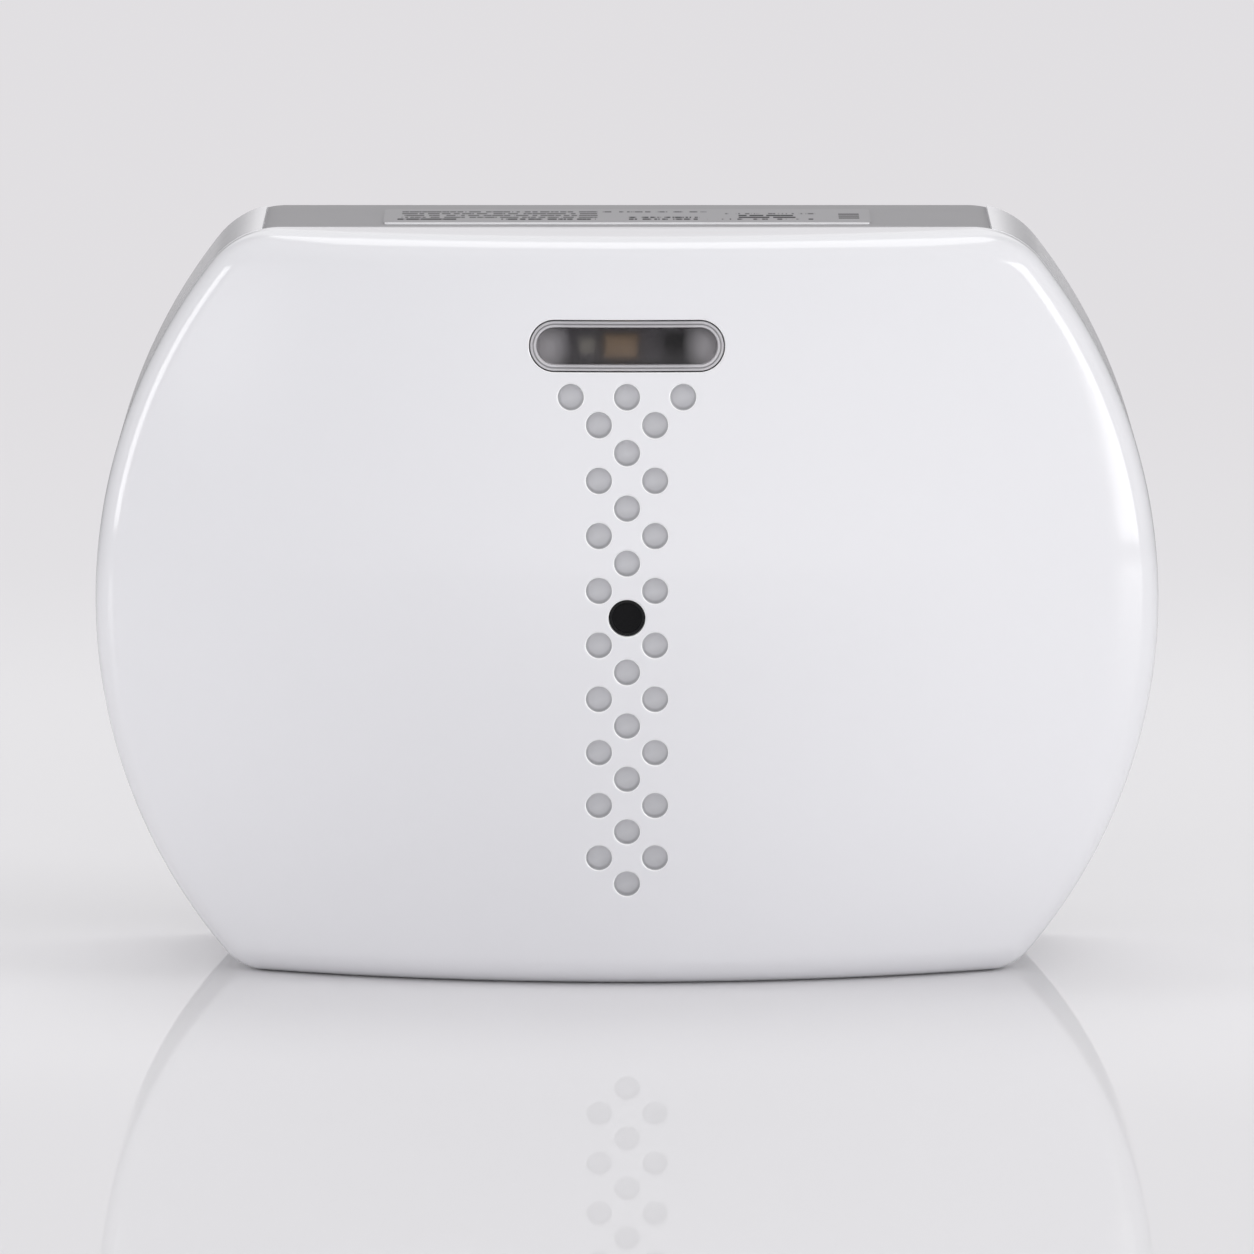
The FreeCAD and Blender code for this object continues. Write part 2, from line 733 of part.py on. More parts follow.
def make_radio_shield():
    """A pressed lid over the radio, with small holes and rounded corners."""
    x, z, width, length, corner = shield_x, z_upper_row, shield_width, shield_length, shield_corner_radius
    outer = rounded_box_y(x, z, width, length, corner, y_board_rear, y_board_rear + shield_height)
    y_inside = y_board_rear + shield_height - shield_sheet
    width, length, corner = width - 2 * shield_sheet, length - 2 * shield_sheet, corner - shield_sheet
    inner = rounded_box_y(x, z, width, length, corner, y_board_rear - wall, y_inside)
    steps = [step * shield_vent_spacing for step in (-1, 0, 1)]
    y0, y1 = y_inside - shield_sheet, y_inside + wall
    vents = [rod_y(x + dx, z + dz, shield_vent_diameter, y0, y1) for dx in steps for dz in steps]
    return outer.cut([inner, *vents])


def make_quartz_crystal():
    """A low metal can with round ends on a thin foot."""
    z = z_upper_row - crystal_drop
    y_foot = y_board_rear + crystal_foot_height
    can = stadium(crystal_width, crystal_length, z, y_foot, y_board_rear + crystal_height)
    grown = 2 * crystal_foot_width
    foot = stadium(crystal_width + grown, crystal_length + grown, z, y_board_rear, y_foot)
    both = can.fuse(foot)
    both.translate(Vec(crystal_x, 0, 0))
    return both


def make_reservoir_capacitor():
    """A rolled can lying on the board, with the groove near its sealed end."""
    x0, z = reservoir_x, z_lower_row + reservoir_rise
    y = y_board_rear + reservoir_diameter / 2
    can = rod_x(y, z, reservoir_diameter, x0, x0 + reservoir_length)
    x1 = x0 + reservoir_groove_start
    x2 = x1 + reservoir_groove_width
    core = rod_x(y, z, reservoir_diameter - 2 * reservoir_groove_depth, x0, x2 + wall)
    return can.cut(rod_x(y, z, reservoir_diameter, x1, x2).cut(core))


def header_pin_places():
    return [
        (header_x + (i - (header_columns - 1) / 2) * lead_spacing, z_lower_row + (k - 0.5) * lead_spacing)
        for i in range(header_columns)
        for k in range(2)
    ]


def make_header_strip():
    width, length = header_columns * lead_spacing, 2 * lead_spacing
    strip = rear_block(header_x, z_lower_row, width, length, header_height)
    side = header_pin_width
    return strip.cut([rear_block(x, z, side, side, header_height) for x, z in header_pin_places()])


def make_header_pins():
    """Two rows of square pins pressed through the strip."""
    side, height = header_pin_width, header_height + header_pin_reach
    return Part.makeCompound([rear_block(x, z, side, side, height) for x, z in header_pin_places()])


def make_chip_resistors():
    """The smallest parts, in two rows."""
    z_lower = (z_lower_row + z_upper_row) / 2 - lower_resistors_drop
    z_upper = z_board_top - upper_resistors_gap
    places = [(lower_resistors_x + i * resistor_spacing, z_lower) for i in range(6)]
    places += [(upper_resistors_x + i * resistor_spacing, z_upper) for i in range(5)]
    size = (resistor_width, resistor_length, resistor_height)
    return Part.makeCompound([rear_block(x, z, *size) for x, z in places])


def make_antenna_wire():
    """A formed wire: up from the board, along its top edge, and down its side."""
    y_run = y_board_rear + wire_rise
    z = z_board_top - wire_edge_gap
    start = Vec(wire_x, y_board_rear, z)
    corner = Vec(wire_x, y_run, z)
    turn = Vec(wire_x - wire_run, y_run, z)
    z_end = z_lower_row + reservoir_rise + reservoir_diameter / 2 + wire_end_gap
    end = Vec(wire_x - wire_run - wire_splay, y_run, z_end)
    return tube_along([start, corner, turn, end], wire_diameter, wire_bend)


def tube_along(points, diameter, bend):
    """A round wire through points, with each corner rounded to the bend radius."""
    edges, here = [], points[0]
    for before, at, after in zip(points, points[1:], points[2:]):
        into, out = (at - before).normalize(), (after - at).normalize()
        half_turn = into.getAngle(out) / 2
        back = bend * math.tan(half_turn)
        first, last = at - into * back, at + out * back
        inwards = (out - into).normalize()
        middle = at + inwards * (bend / math.cos(half_turn) - bend)
        edges += [line(here, first), arc(first, middle, last)]
        here = last
    edges.append(line(here, points[-1]))
    first_direction = (points[1] - points[0]).normalize()
    profile = Part.Wire(Part.makeCircle(diameter / 2, points[0], first_direction))
    return Part.Wire(edges).makePipeShell([profile], True, False)


# Battery


def holder_inner_length():
    return battery_length + battery_nub_length + 2 * contact_gap


def battery_axis_y():
    return y_board_rear + holder_floor + holder_clearance + battery_diameter / 2


def make_battery_holder():
    """A moulded cradle soldered to the board: floor, two end walls and two low side walls."""
    inner_x = holder_inner_length() / 2
    outer_x = inner_x + holder_wall
    half_z = battery_diameter / 2 + holder_clearance
    outer_z = half_z + holder_wall
    y0 = y_board_rear
    y1 = y0 + holder_floor + battery_diameter * holder_grip
    z = z_battery
    block = box(-outer_x, outer_x, y0, y1, z - outer_z, z + outer_z)
    trough = rod_x(battery_axis_y(), z, 2 * half_z, -inner_x, inner_x)
    above = box(-inner_x, inner_x, battery_axis_y(), y1 + wall, z - half_z, z + half_z)
    gap, y_gap = battery_length / 4, y0 + holder_floor + battery_diameter / 4
    finger_gaps = box(-gap, gap, y_gap, y1 + wall, z - 2 * half_z, z + 2 * half_z)
    return block.cut([trough, above, finger_gaps])


def battery_start():
    """The x of the battery's flat end, next to the sprung contact."""
    return -holder_inner_length() / 2 + contact_gap


def make_battery_cell():
    x0 = battery_start()
    can = rod_x(battery_axis_y(), z_battery, battery_diameter, x0, x0 + battery_length)
    can = can.makeFillet(battery_edge_radius, [e for e in can.Edges if isinstance(e.Curve, Part.Circle)])
    x1 = x0 + battery_length
    nub = rod_x(battery_axis_y(), z_battery, battery_nub_diameter, x1 - wall, x1 + battery_nub_length)
    return can.fuse(nub)


def contact_plate(x0, x1):
    half = contact_width / 2
    trough_radius = battery_diameter / 2 + holder_clearance
    y0 = battery_axis_y() - math.sqrt(trough_radius**2 - half**2) + seat_clearance
    y1 = y0 + contact_height
    return box(x0, x1, y0, y1, z_battery - half, z_battery + half)


def make_battery_plate():
    """The contact at the nub's end."""
    inner_x = holder_inner_length() / 2
    return contact_plate(inner_x - contact_thickness, inner_x)


def make_battery_spring():
    """The contact at the flat end: a plate with a bowed leaf that pushes the battery."""
    x0 = -holder_inner_length() / 2
    plate = contact_plate(x0, x0 + contact_thickness)
    half = contact_width / 4
    y = battery_axis_y()
    x_flat = x0 + contact_thickness
    low, high = Vec(x_flat, y - spring_leaf_length, -half), Vec(x_flat, y, -half)
    top = Vec(x_flat + spring_bow, y - spring_leaf_length / 2, -half)
    leaf = Part.Face(Part.Wire([arc(low, top, high), line(high, low)])).extrude(Vec(0, 0, 2 * half))
    leaf.translate(Vec(0, 0, z_battery))
    return plate.fuse(leaf)


# Switches


def switch_body(x, z, height, bore_diameter, bore_depth):
    width, y1 = switch_width, y_board_rear + height
    body = rounded_box_y(x, z, width, width, switch_corner_radius, y_board_rear, y1)
    return body.cut(rod_y(x, z, bore_diameter, y1 - bore_depth, y1))


def make_enroll_switch_body():
    bore = button_diameter + 2 * button_clearance
    return switch_body(enroll_x, z_lower_row, switch_height, bore, button_depth + 2 * button_travel)


def make_enroll_button():
    y1 = y_board_rear + switch_height
    return rod_y(enroll_x, z_lower_row, button_diameter, y1 - button_depth, y1 + button_rise)


def make_tamper_switch_body():
    bore = tamper_plunger_diameter + 2 * button_clearance
    return switch_body(0, tamper_height, tamper_body_height, bore, button_depth)


def make_tamper_plunger():
    y1 = y_board_rear + tamper_body_height
    return rod_y(0, tamper_height, tamper_plunger_diameter, y1 - button_depth, y1 + tamper_plunger_rise)


# Screws


def make_board_screws():
    """Pan head screws through the board into two of the cover's posts."""
    screws = []
    for x, z in screw_post_places():
        head = rod_y(x, z, board_screw_head_diameter, y_board_rear, y_board_rear + board_screw_head_height)
        y_half = y_board_rear + board_screw_head_height / 2
        head = head.makeFillet(board_screw_head_radius, [e for e in head.Edges if e.BoundBox.YMin > y_half])
        shank = rod_y(x, z, board_screw_diameter, y_board_rear - board_screw_length, y_board_rear)
        slot = driver_slot(x, z)
        screws.append(head.cut(slot).fuse(shank))
    return Part.makeCompound(screws)


def driver_slot(x, z):
    half, reach = driver_slot_width / 2, board_screw_head_diameter * driver_slot_share
    y0 = y_board_rear + board_screw_head_height - driver_slot_depth
    y1 = y_board_rear + board_screw_head_height + wall
    flat = box(x - reach, x + reach, y0, y1, z - half, z + half)
    return flat.fuse(box(x - half, x + half, y0, y1, z - reach, z + reach))


def make_cover_screw():
    """The one screw that holds the case shut, sunk in the underside."""
    y = y_seam + cover_screw_setback
    z0, z1 = cover_screw_sink, cover_screw_sink + cover_screw_head_height
    head = rod_z(0, y, cover_screw_head_diameter, z0, z1)
    half, reach = driver_slot_width / 2, cover_screw_head_diameter * driver_slot_share
    slots = box(-reach, reach, y - half, y + half, z0, z0 + driver_slot_depth)
    slots = slots.fuse(box(-half, half, y - reach, y + reach, z0, z0 + driver_slot_depth))
    shank = rod_z(0, y, cover_screw_diameter, z1, z0 + cover_screw_length)
    return head.cut(slots).fuse(shank)


NODES = {
    "front_cover": make_front_cover,
    "rear_base": make_rear_base,
    "top_label": make_top_label,
    "window_lens": make_window_lens,
    "light_box": make_light_box,
    "microphone_boot": make_microphone_boot,
    "microphone_felt": make_microphone_felt,
    "microphone_capsule": make_microphone_capsule,
    "circuit_board": make_circuit_board,
    "status_led": make_status_led,
    "tantalum_capacitor": make_tantalum_capacitor,
    "tone_detector": make_tone_detector,
    "main_chip": make_main_chip,
    "audio_chip": make_audio_chip,
    "radio_shield": make_radio_shield,
    "quartz_crystal": make_quartz_crystal,
    "reservoir_capacitor": make_reservoir_capacitor,
    "header_strip": make_header_strip,
    "header_pins": make_header_pins,
    "chip_resistors": make_chip_resistors,
    "antenna_wire": make_antenna_wire,
    "battery_holder": make_battery_holder,
    "battery_cell": make_battery_cell,
    "battery_plate": make_battery_plate,
    "battery_spring": make_battery_spring,
    "enroll_switch_body": make_enroll_switch_body,
    "enroll_button": make_enroll_button,
    "tamper_switch_body": make_tamper_switch_body,
    "tamper_plunger": make_tamper_plunger,
    "board_screws": make_board_screws,
    "cover_screw": make_cover_screw,
}

os.makedirs("parts", exist_ok=True)
for node, make in NODES.items():
    shape = make()
    shape.exportStep(f"parts/{node}.step")
    print(f"{node:22} solids {len(shape.Solids)}  valid {shape.isValid()}  volume {shape.Volume:9.1f} mm3")
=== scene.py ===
"""A glossy wall detector that listens for breaking glass, dressed for a studio picture.

The case is two white mouldings with a seam between them. The front is a shallow dome with a
smoked window, a microphone port and a column of blind dimples. Lengths are in metres, and every
piece is made where it belongs in the frame: +X to the right, +Y to the wall, +Z up.
"""

import math

import bmesh
import bpy
import numpy as np
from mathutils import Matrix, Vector
from mathutils.geometry import delaunay_2d_cdt


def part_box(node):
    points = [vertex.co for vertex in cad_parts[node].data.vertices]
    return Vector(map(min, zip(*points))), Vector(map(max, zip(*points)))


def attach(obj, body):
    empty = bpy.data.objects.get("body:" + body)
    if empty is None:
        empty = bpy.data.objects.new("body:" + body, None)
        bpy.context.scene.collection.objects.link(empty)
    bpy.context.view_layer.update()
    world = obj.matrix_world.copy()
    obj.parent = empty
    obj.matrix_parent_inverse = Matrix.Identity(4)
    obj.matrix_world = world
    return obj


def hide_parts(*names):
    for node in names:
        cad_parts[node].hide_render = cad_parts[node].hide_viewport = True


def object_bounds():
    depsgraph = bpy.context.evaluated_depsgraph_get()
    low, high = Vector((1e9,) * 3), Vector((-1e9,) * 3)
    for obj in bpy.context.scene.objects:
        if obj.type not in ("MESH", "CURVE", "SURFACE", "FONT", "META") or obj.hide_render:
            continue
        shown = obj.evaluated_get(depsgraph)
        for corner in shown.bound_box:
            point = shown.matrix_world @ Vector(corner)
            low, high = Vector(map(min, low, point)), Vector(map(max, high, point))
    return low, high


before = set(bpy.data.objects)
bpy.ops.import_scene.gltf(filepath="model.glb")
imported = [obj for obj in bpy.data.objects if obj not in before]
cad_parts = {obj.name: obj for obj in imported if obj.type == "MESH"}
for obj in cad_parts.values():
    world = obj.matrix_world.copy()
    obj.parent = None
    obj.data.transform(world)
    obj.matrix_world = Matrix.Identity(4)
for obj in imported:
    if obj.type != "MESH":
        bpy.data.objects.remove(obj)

bl_info = {
    "name": "Glass break detector",
    "version": (1, 0, 0),
    "blender": (4, 5, 0),
    "location": "3D View > Sidebar > Detector",
    "description": "Finishes, small parts and studio for a white wall detector",
    "category": "Object",
}

MM, MICRON = 0.001, 1e-6
BOX_AT_LOAD = [list(corner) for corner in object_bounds()]
CASE_HEIGHT = BOX_AT_LOAD[1][2] - BOX_AT_LOAD[0][2]
HALF_WIDTH = 54.0 * MM
HALF_DEPTH = BOX_AT_LOAD[1][1]
Y_FRONT = -HALF_DEPTH
MIDDLE_Z = CASE_HEIGHT / 2
MIDDLE = Vector((0.0, 0.0, MIDDLE_Z))

# The outline seen from the front, and the dome of the face
SIDE_CENTRE_OFFSET = 2.0 * MM
SIDE_RADIUS = HALF_WIDTH + SIDE_CENTRE_OFFSET
TOP_CORNER_RADIUS = 9.0 * MM
BOTTOM_CORNER_RADIUS = 5.5 * MM
FACE_RISE = 16.63 * MM
FACE_EDGE_RADIUS = 5.0 * MM
DOME_RADIUS = (HALF_WIDTH**2 + FACE_RISE**2) / (2 * FACE_RISE)
DOME_CENTRE = (0.0, Y_FRONT + DOME_RADIUS, MIDDLE_Z)
WALL = 2.4 * MM
INNER_DEPTH = WALL - 0.2 * MM
RECESS_HALF_WIDTH = 5.0 * MM
COVER_DEPTH = 20.4 * MM
SEAM_Y = Y_FRONT + COVER_DEPTH
SEAM_EDGE_RADIUS = 0.3 * MM
SHIPLAP = 1.2 * MM
SHIPLAP_DEPTH = 1.8 * MM
BASE_Y = SEAM_Y + 0.2 * MM
LIP_INSET, LIP_DEPTH = 1.3 * MM, 1.6 * MM
BACK_EDGE_RADIUS = 0.6 * MM
EDGE_BAND = 0.3 * MM
PANEL_HALF_WIDTH, PANEL_DEPTH = 37.0 * MM, 0.3 * MM

# How the surfaces are made: points along each flat of the outline, the spacing of the points on the
# dome, the sharpest edge that is still shaded round, and how near two points are to be one
FLAT_POINTS = 62
DOME_STEP = 1.9 * MM
SHARP_EDGE = math.radians(35)
TOUCH = 1e-6
MIRROR = np.array([-1.0, 1.0])

# Dimples, port and window
DIMPLE_RADIUS = 1.3 * MM
DIMPLE_DEPTH = 1.7 * MM
DIMPLE_BOWL = 0.7 * MM
RIM_RADIUS = 0.18 * MM
RIM_BORDER = 0.12 * MM
DIMPLE_COLUMN_SPACING = 2.82 * MM
DIMPLE_ROW_SPACING = 2.75 * MM
PORT_Z = 38.6 * MM
PORT_RADIUS = 1.85 * MM
WINDOW_DROP = 10.4 * MM
WINDOW_Z = CASE_HEIGHT - WINDOW_DROP
WINDOW_WIDTH, WINDOW_HEIGHT = 19.7 * MM, 5.1 * MM
LENS_GAP = 0.12 * MM
LENS_SETBACK = 0.05 * MM
LENS_RIM = 0.6 * MM
LENS_FIELD_DEPTH = 0.35 * MM
LENS_SEAT = 2.45 * MM
LENS_PAINTED_GLOW_END = 7.8 * MM
LENS_BACK = 3.4 * MM
LENS_FLANGE = 1.6 * MM
HALF_WINDOW = WINDOW_HEIGHT / 2
WINDOW_RUN = (WINDOW_WIDTH - WINDOW_HEIGHT) / 2

# Where the cover's finish changes: beside and under the dimples, round the window, and at its seat,
# where a painted shadow spans a share of the window. The change is as soft as SOFT is wide.
SOFT = 0.1 * MM
DIMPLED_HALF_WIDTH, DIMPLED_FROM = 7.2 * MM, 9.0 * MM
WINDOW_MARGIN = 0.5 * MM
SEAT_SHARE = 0.6
SHELL_IOR = 1.48

# The label's printed rows, counted from its front edge, and the fields in which they are printed:
# left and right edge from the middle and near and far edge from the front in millimetres, how much
# of a row stays bare, and how dark the rest is. Short bars stand to the right of them.
ROW_START, ROW_PITCH = 2.9 * MM, 1.8 * MM
PRINTED_FIELDS = (
    (-23.0, -3.0, 4.7, 12.0, 0.46, 0.7),
    (-23.4, -17.4, 2.9, 4.7, 0.42, 1.0),
    (-12.8, -3.2, 2.9, 4.7, 0.47, 1.0),
    (-2.6, 8.6, 10.1, 12.0, 0.5, 0.7),
    (0.2, 7.4, 2.9, 6.5, 0.49, 1.0),
    (8.2, 19.0, 2.9, 4.7, 0.54, 0.9),
    (11.4, 17.2, 4.7, 8.3, 0.4, 1.0),
    (9.8, 19.4, 8.3, 10.1, 0.52, 0.7),
)
DASH_SOFT = 0.06


# Shader maths


class Wire:
    """An output socket. Arithmetic on it adds Math nodes, so a pattern reads as a formula."""

    def __init__(self, finish, socket):
        self.finish = finish
        self.socket = socket

    def output(self, name):
        """Another output of the same node."""
        return Wire(self.finish, self.socket.node.outputs[name])

    def maths(self, operation, *values, clamp=False):
        """A Math node on numbers and other wires."""
        return self.finish.node(
            "ShaderNodeMath", {"operation": operation, "use_clamp": clamp}, dict(enumerate(values))
        )

    def __add__(self, other):
        return self.maths("ADD", self, other)

    def __mul__(self, other):
        return self.maths("MULTIPLY", self, other)

    __radd__, __rmul__ = __add__, __mul__

    def __sub__(self, other):
        return self.maths("SUBTRACT", self, other)

    def __rsub__(self, other):
        return self.maths("SUBTRACT", other, self)

    def __truediv__(self, other):
        return self.maths("DIVIDE", self, other)

    def __rtruediv__(self, other):
        return self.maths("DIVIDE", other, self)

    def __pow__(self, other):
        return self.maths("POWER", self, other)

    def __abs__(self):
        return self.maths("ABSOLUTE", self)

    def root(self):
        return self.maths("SQRT", self)

    def repeat(self, period):
        """Where this value is within its period, from 0 to period."""
        return self.maths("FLOORED_MODULO", self, period)

    def centred(self, period):
        """How far this value is from the nearest multiple of the period."""
        return (self + period / 2).repeat(period) - period / 2

    def above(self, edge, soft):
        """0 below the edge and 1 above it, over a soft step of the given width."""
        return self.maths("ADD", (self - edge) / soft, 0.5, clamp=True)

    def below(self, edge, soft):
        """1 below the edge and 0 above it."""
        return 1 - self.above(edge, soft)

    def within(self, low, high, soft):
        """1 between two edges and 0 outside them."""
        return self.above(low, soft) * self.below(high, soft)


class Finish:
    """A material or a world that is being made, with one method that adds any node.

    Its place is where a point is in the frame, or for the world, the direction of the view.
    """

    def __init__(self, name, world=False):
        self.made = (bpy.data.worlds if world else bpy.data.materials).new(name)
        self.made.use_nodes = True
        self.tree = self.made.node_tree
        self.tree.nodes.clear()
        kind = "ShaderNodeOutputWorld" if world else "ShaderNodeOutputMaterial"
        self.end = self.tree.nodes.new(kind)
        self.place = self.node("ShaderNodeTexCoord", output="Generated" if world else "Object")

    def node(self, kind, settings=None, sockets=None, output=0):
        """Adds a node: its settings first, then values or links by socket name or number."""
        node = self.tree.nodes.new(kind)
        for key, value in (settings or {}).items():
            setattr(node, key, value)
        for key, value in (sockets or {}).items():
            socket = node.inputs[key]
            if isinstance(value, Wire):
                self.tree.links.new(value.socket, socket)
            else:
                socket.default_value = value
        return Wire(self, node.outputs[output])

    def facing(self):
        """The surface's own direction."""
        return self.node("ShaderNodeNewGeometry", output="True Normal")

    def parts(self, vector):
        """x, y and z of a vector."""
        x = self.node("ShaderNodeSeparateXYZ", sockets={"Vector": vector})
        return x, x.output("Y"), x.output("Z")

    def noise(self, size, detail=3.0, rough=0.5, place=None):
        """Cloudy noise from 0 to 1, whose features are about size across."""
        sockets = {"Scale": 1.0 / size, "Detail": detail, "Roughness": rough}
        sockets["Vector"] = place or self.place
        return self.node("ShaderNodeTexNoise", {}, sockets, "Fac")

    def cells(self, size):
        """How far it is to the nearest of many scattered points, as a share of their spacing."""
        sockets = {"Vector": self.place, "Scale": 1.0 / size}
        return self.node("ShaderNodeTexVoronoi", {}, sockets, "Distance")

    def stretched(self, scale):
        """The place with each axis scaled, for grain that runs one way."""
        return self.node("ShaderNodeMapping", {}, {"Vector": self.place, "Scale": scale})

    def blend(self, factor, first, second):
        """A colour that is the first where the factor is 0 and the second where it is 1."""
        settings = {"data_type": "RGBA", "clamp_factor": True}
        sockets = {0: factor, 6: self.colour(first), 7: self.colour(second)}
        return self.node("ShaderNodeMix", settings, sockets, 2)

    @staticmethod
    def colour(value):
        return value if isinstance(value, Wire) else (*value[:3], 1.0)

    def bump(self, height, distance, under=None):
        """A normal from a height between 0 and 1, where 1 stands out by distance."""
        sockets = {"Height": height, "Distance": distance, "Strength": 1.0}
        if under is not None:
            sockets["Normal"] = under
        return self.node("ShaderNodeBump", {}, sockets, "Normal")

    def surface(self, colour, roughness, normal=None, **rest):
        """The Principled shader. Names in rest are its sockets, with underscores for spaces."""
        sockets = {"Base Color": self.colour(colour), "Roughness": roughness}
        if normal is not None:
            sockets["Normal"] = normal
        for name, value in rest.items():
            sockets[name.replace("_", " ")] = value
        return self.node("ShaderNodeBsdfPrincipled", {}, sockets)

    def mixed(self, factor, first, second):
        """A shader that is the first where the factor is 0 and the second where it is 1."""
        return self.node("ShaderNodeMixShader", {}, {0: factor, 1: first, 2: second})

    def unseen(self):
        """1 for light on its way between surfaces, and 0 for what the camera sees directly."""
        return 1 - self.node("ShaderNodeLightPath", output="Is Camera Ray")

    def done(self, shader):
        self.tree.links.new(shader.socket, self.end.inputs["Surface"])
        return self.made

    def grained(self, colour, roughness, texture, swing, depth, **rest):
        """A finish whose gloss and relief both follow a texture from 0 to 1."""
        rough = roughness + swing * (texture - 0.5)
        return self.done(self.surface(colour, rough, self.bump(texture, depth), **rest))


def scaled(colour, factor):
    """A colour with each channel times a factor, and none above 1."""
    return tuple(min(1.0, channel * factor) for channel in colour[:3])


# Finishes


def dome_depth(f):
    """How far below the dome of the face a point lies."""
    sockets = {0: f.place, 1: DOME_CENTRE}
    return DOME_RADIUS - f.node("ShaderNodeVectorMath", {"operation": "DISTANCE"}, sockets, "Value")


def polished(f, finish):
    """Colour, roughness and normal of the white mouldings: clouds, dust and the wave of a mould."""
    white = finish.shell_colour
    cloud = f.noise(38 * MM, 2.0)
    colour = f.blend(cloud, scaled(white, 0.985), scaled(white, 1.012))
    roughness = finish.shell_roughness + 0.05 * (f.noise(6 * MM, 4.0) - 0.5)
    specks = f.cells(1.7 * MM).below(0.035, 0.03)
    dust = specks * f.noise(9 * MM).above(0.6, 0.1)
    colour = f.blend(0.1 * dust, colour, (0.45, 0.44, 0.42))
    return colour, roughness + 0.25 * dust, f.bump(f.noise(4.5 * MM, 1.0), 0.6 * MICRON)


def cover_gloss(name, finish):
    """Polished white, with a painted highlight that whitens the rims of the holes, and matt in the
    dimples, which painted shade darkens, most towards their walls and their lower side. A painted
    shadow blackens the seat of the window."""
    f = Finish(name)
    x, _, z = f.parts(f.place)
    colour, roughness, normal = polished(f, finish)
    depth, beside = dome_depth(f), abs(x)
    # Painted highlight: the rims round the holes are coloured white.
    rim = depth.within(0.03 * MM, 0.2 * MM, 0.02 * MM)
    rim = rim * beside.below(WINDOW_WIDTH / 2 + WINDOW_MARGIN, SOFT)
    rim = rim * z.within(DIMPLED_FROM - 1.0 * MM, WINDOW_Z + HALF_WINDOW + WINDOW_MARGIN, SOFT)
    colour = f.blend(rim, colour, (1.0, 1.0, 1.0))
    # Painted shade: the dimples are coloured darker than the shell, most towards their walls and
    # lower side.
    column = x.centred(DIMPLE_COLUMN_SPACING)
    row = (z - PORT_Z).centred(DIMPLE_ROW_SPACING)
    walls = (column * column + row * row).root().above(1.18 * MM, 0.3 * MM)
    shade = 1 - 0.25 * walls - 0.15 * (0.3 * column - row).above(0.8 * MM, 1.0 * MM)
    deep = f.blend(shade, (0.0, 0.0, 0.0), scaled(finish.shell_colour, finish.painted_dimple_shade))
    sunk = depth.above(0.6 * MM, 0.5 * MM) * beside.below(DIMPLED_HALF_WIDTH, SOFT)
    sunk = sunk * z.within(DIMPLED_FROM, WINDOW_Z - HALF_WINDOW - WINDOW_MARGIN, SOFT)
    colour = f.blend(sunk, colour, deep)
    # Painted shadow: the wall of the window's seat is coloured near black, though the moulding is
    # white.
    seat = abs(z - WINDOW_Z).below(SEAT_SHARE * WINDOW_HEIGHT, SOFT)
    seat = seat * beside.below(SEAT_SHARE * WINDOW_WIDTH, SOFT)
    seat = seat * depth.within(0.25 * MM, 4 * MM, SOFT)
    colour = f.blend(seat, colour, (0.03, 0.03, 0.032))
    return f.done(f.surface(colour, roughness + 0.35 * sunk, normal, IOR=SHELL_IOR))


def base_gloss(name, finish):
    """Polished white, with the fine grey texture of the panel that is sunk in its top."""
    f = Finish(name)
    x, y, z = f.parts(f.place)
    colour, roughness, normal = polished(f, finish)
    texture = f.noise(0.22 * MM, 2.0)
    floor = z.within(CASE_HEIGHT - 2 * PANEL_DEPTH, CASE_HEIGHT - 0.2 * MM, 0.04 * MM)
    floor = floor * abs(x).below(PANEL_HALF_WIDTH, 0.02 * MM)
    floor = floor * y.above(SEAM_Y + 0.1 * MM, 0.02 * MM)
    floor = floor * f.parts(f.facing())[2].above(0.9, 0.04)
    grey = finish.panel_colour
    grey = f.blend(texture, scaled(grey, 0.93), scaled(grey, 1.07))
    roughness = roughness + floor * (0.42 + 0.1 * texture)
    normal = f.bump(texture * floor, 12 * MICRON, under=normal)
    return f.done(f.surface(f.blend(floor, colour, grey), roughness, normal, IOR=SHELL_IOR))


def plain_plastic(name, colour, roughness=0.45):
    """Moulded plastic with a fine spark-eroded grain."""
    f = Finish(name)
    tone = f.blend(f.noise(7 * MM), scaled(colour, 0.9), scaled(colour, 1.1))
    return f.grained(tone, roughness, f.noise(0.25 * MM, 2.0), 0.12, 6 * MICRON)


def white_reflector(name):
    """White plastic at both ends of the window, and painted shade that makes it dark grey between
    them.
    """
    f = Finish(name)
    texture = f.noise(0.25 * MM, 2.0)
    white = f.blend(texture, (0.82, 0.82, 0.81), (0.88, 0.88, 0.87))
    # Painted shade: dark grey between the ends, for the shade inside the window.
    ends = abs(f.parts(f.place)[0] - 0.35 * MM).above(7.2 * MM, 1.6 * MM)
    return f.grained(f.blend(ends, (0.05, 0.05, 0.053), white), 0.45, texture, 0.12, 6 * MICRON)


def chip_resin(name, colour=(0.035, 0.035, 0.038)):
    """Black moulding resin."""
    f = Finish(name)
    texture = f.noise(0.12 * MM)
    tone = f.blend(texture, scaled(colour, 0.75), scaled(colour, 1.3))
    return f.grained(tone, 0.6, texture, 0.2, 8 * MICRON, Specular_IOR_Level=0.25)


def metal(name, colour, roughness):
    """Sheet metal with drawing lines one way, and a few duller stains."""
    f = Finish(name)
    lines = f.noise(0.9 * MM, 5.0, 0.65, f.stretched((1.0, 1.0, 12.0)))
    dull = f.noise(2.6 * MM, 4.0).above(0.6, 0.25)
    tone = f.blend(dull, colour, scaled(colour, 0.76))
    return f.grained(tone, roughness + 0.08 * dull, lines, 0.16, 2 * MICRON, Metallic=1.0)


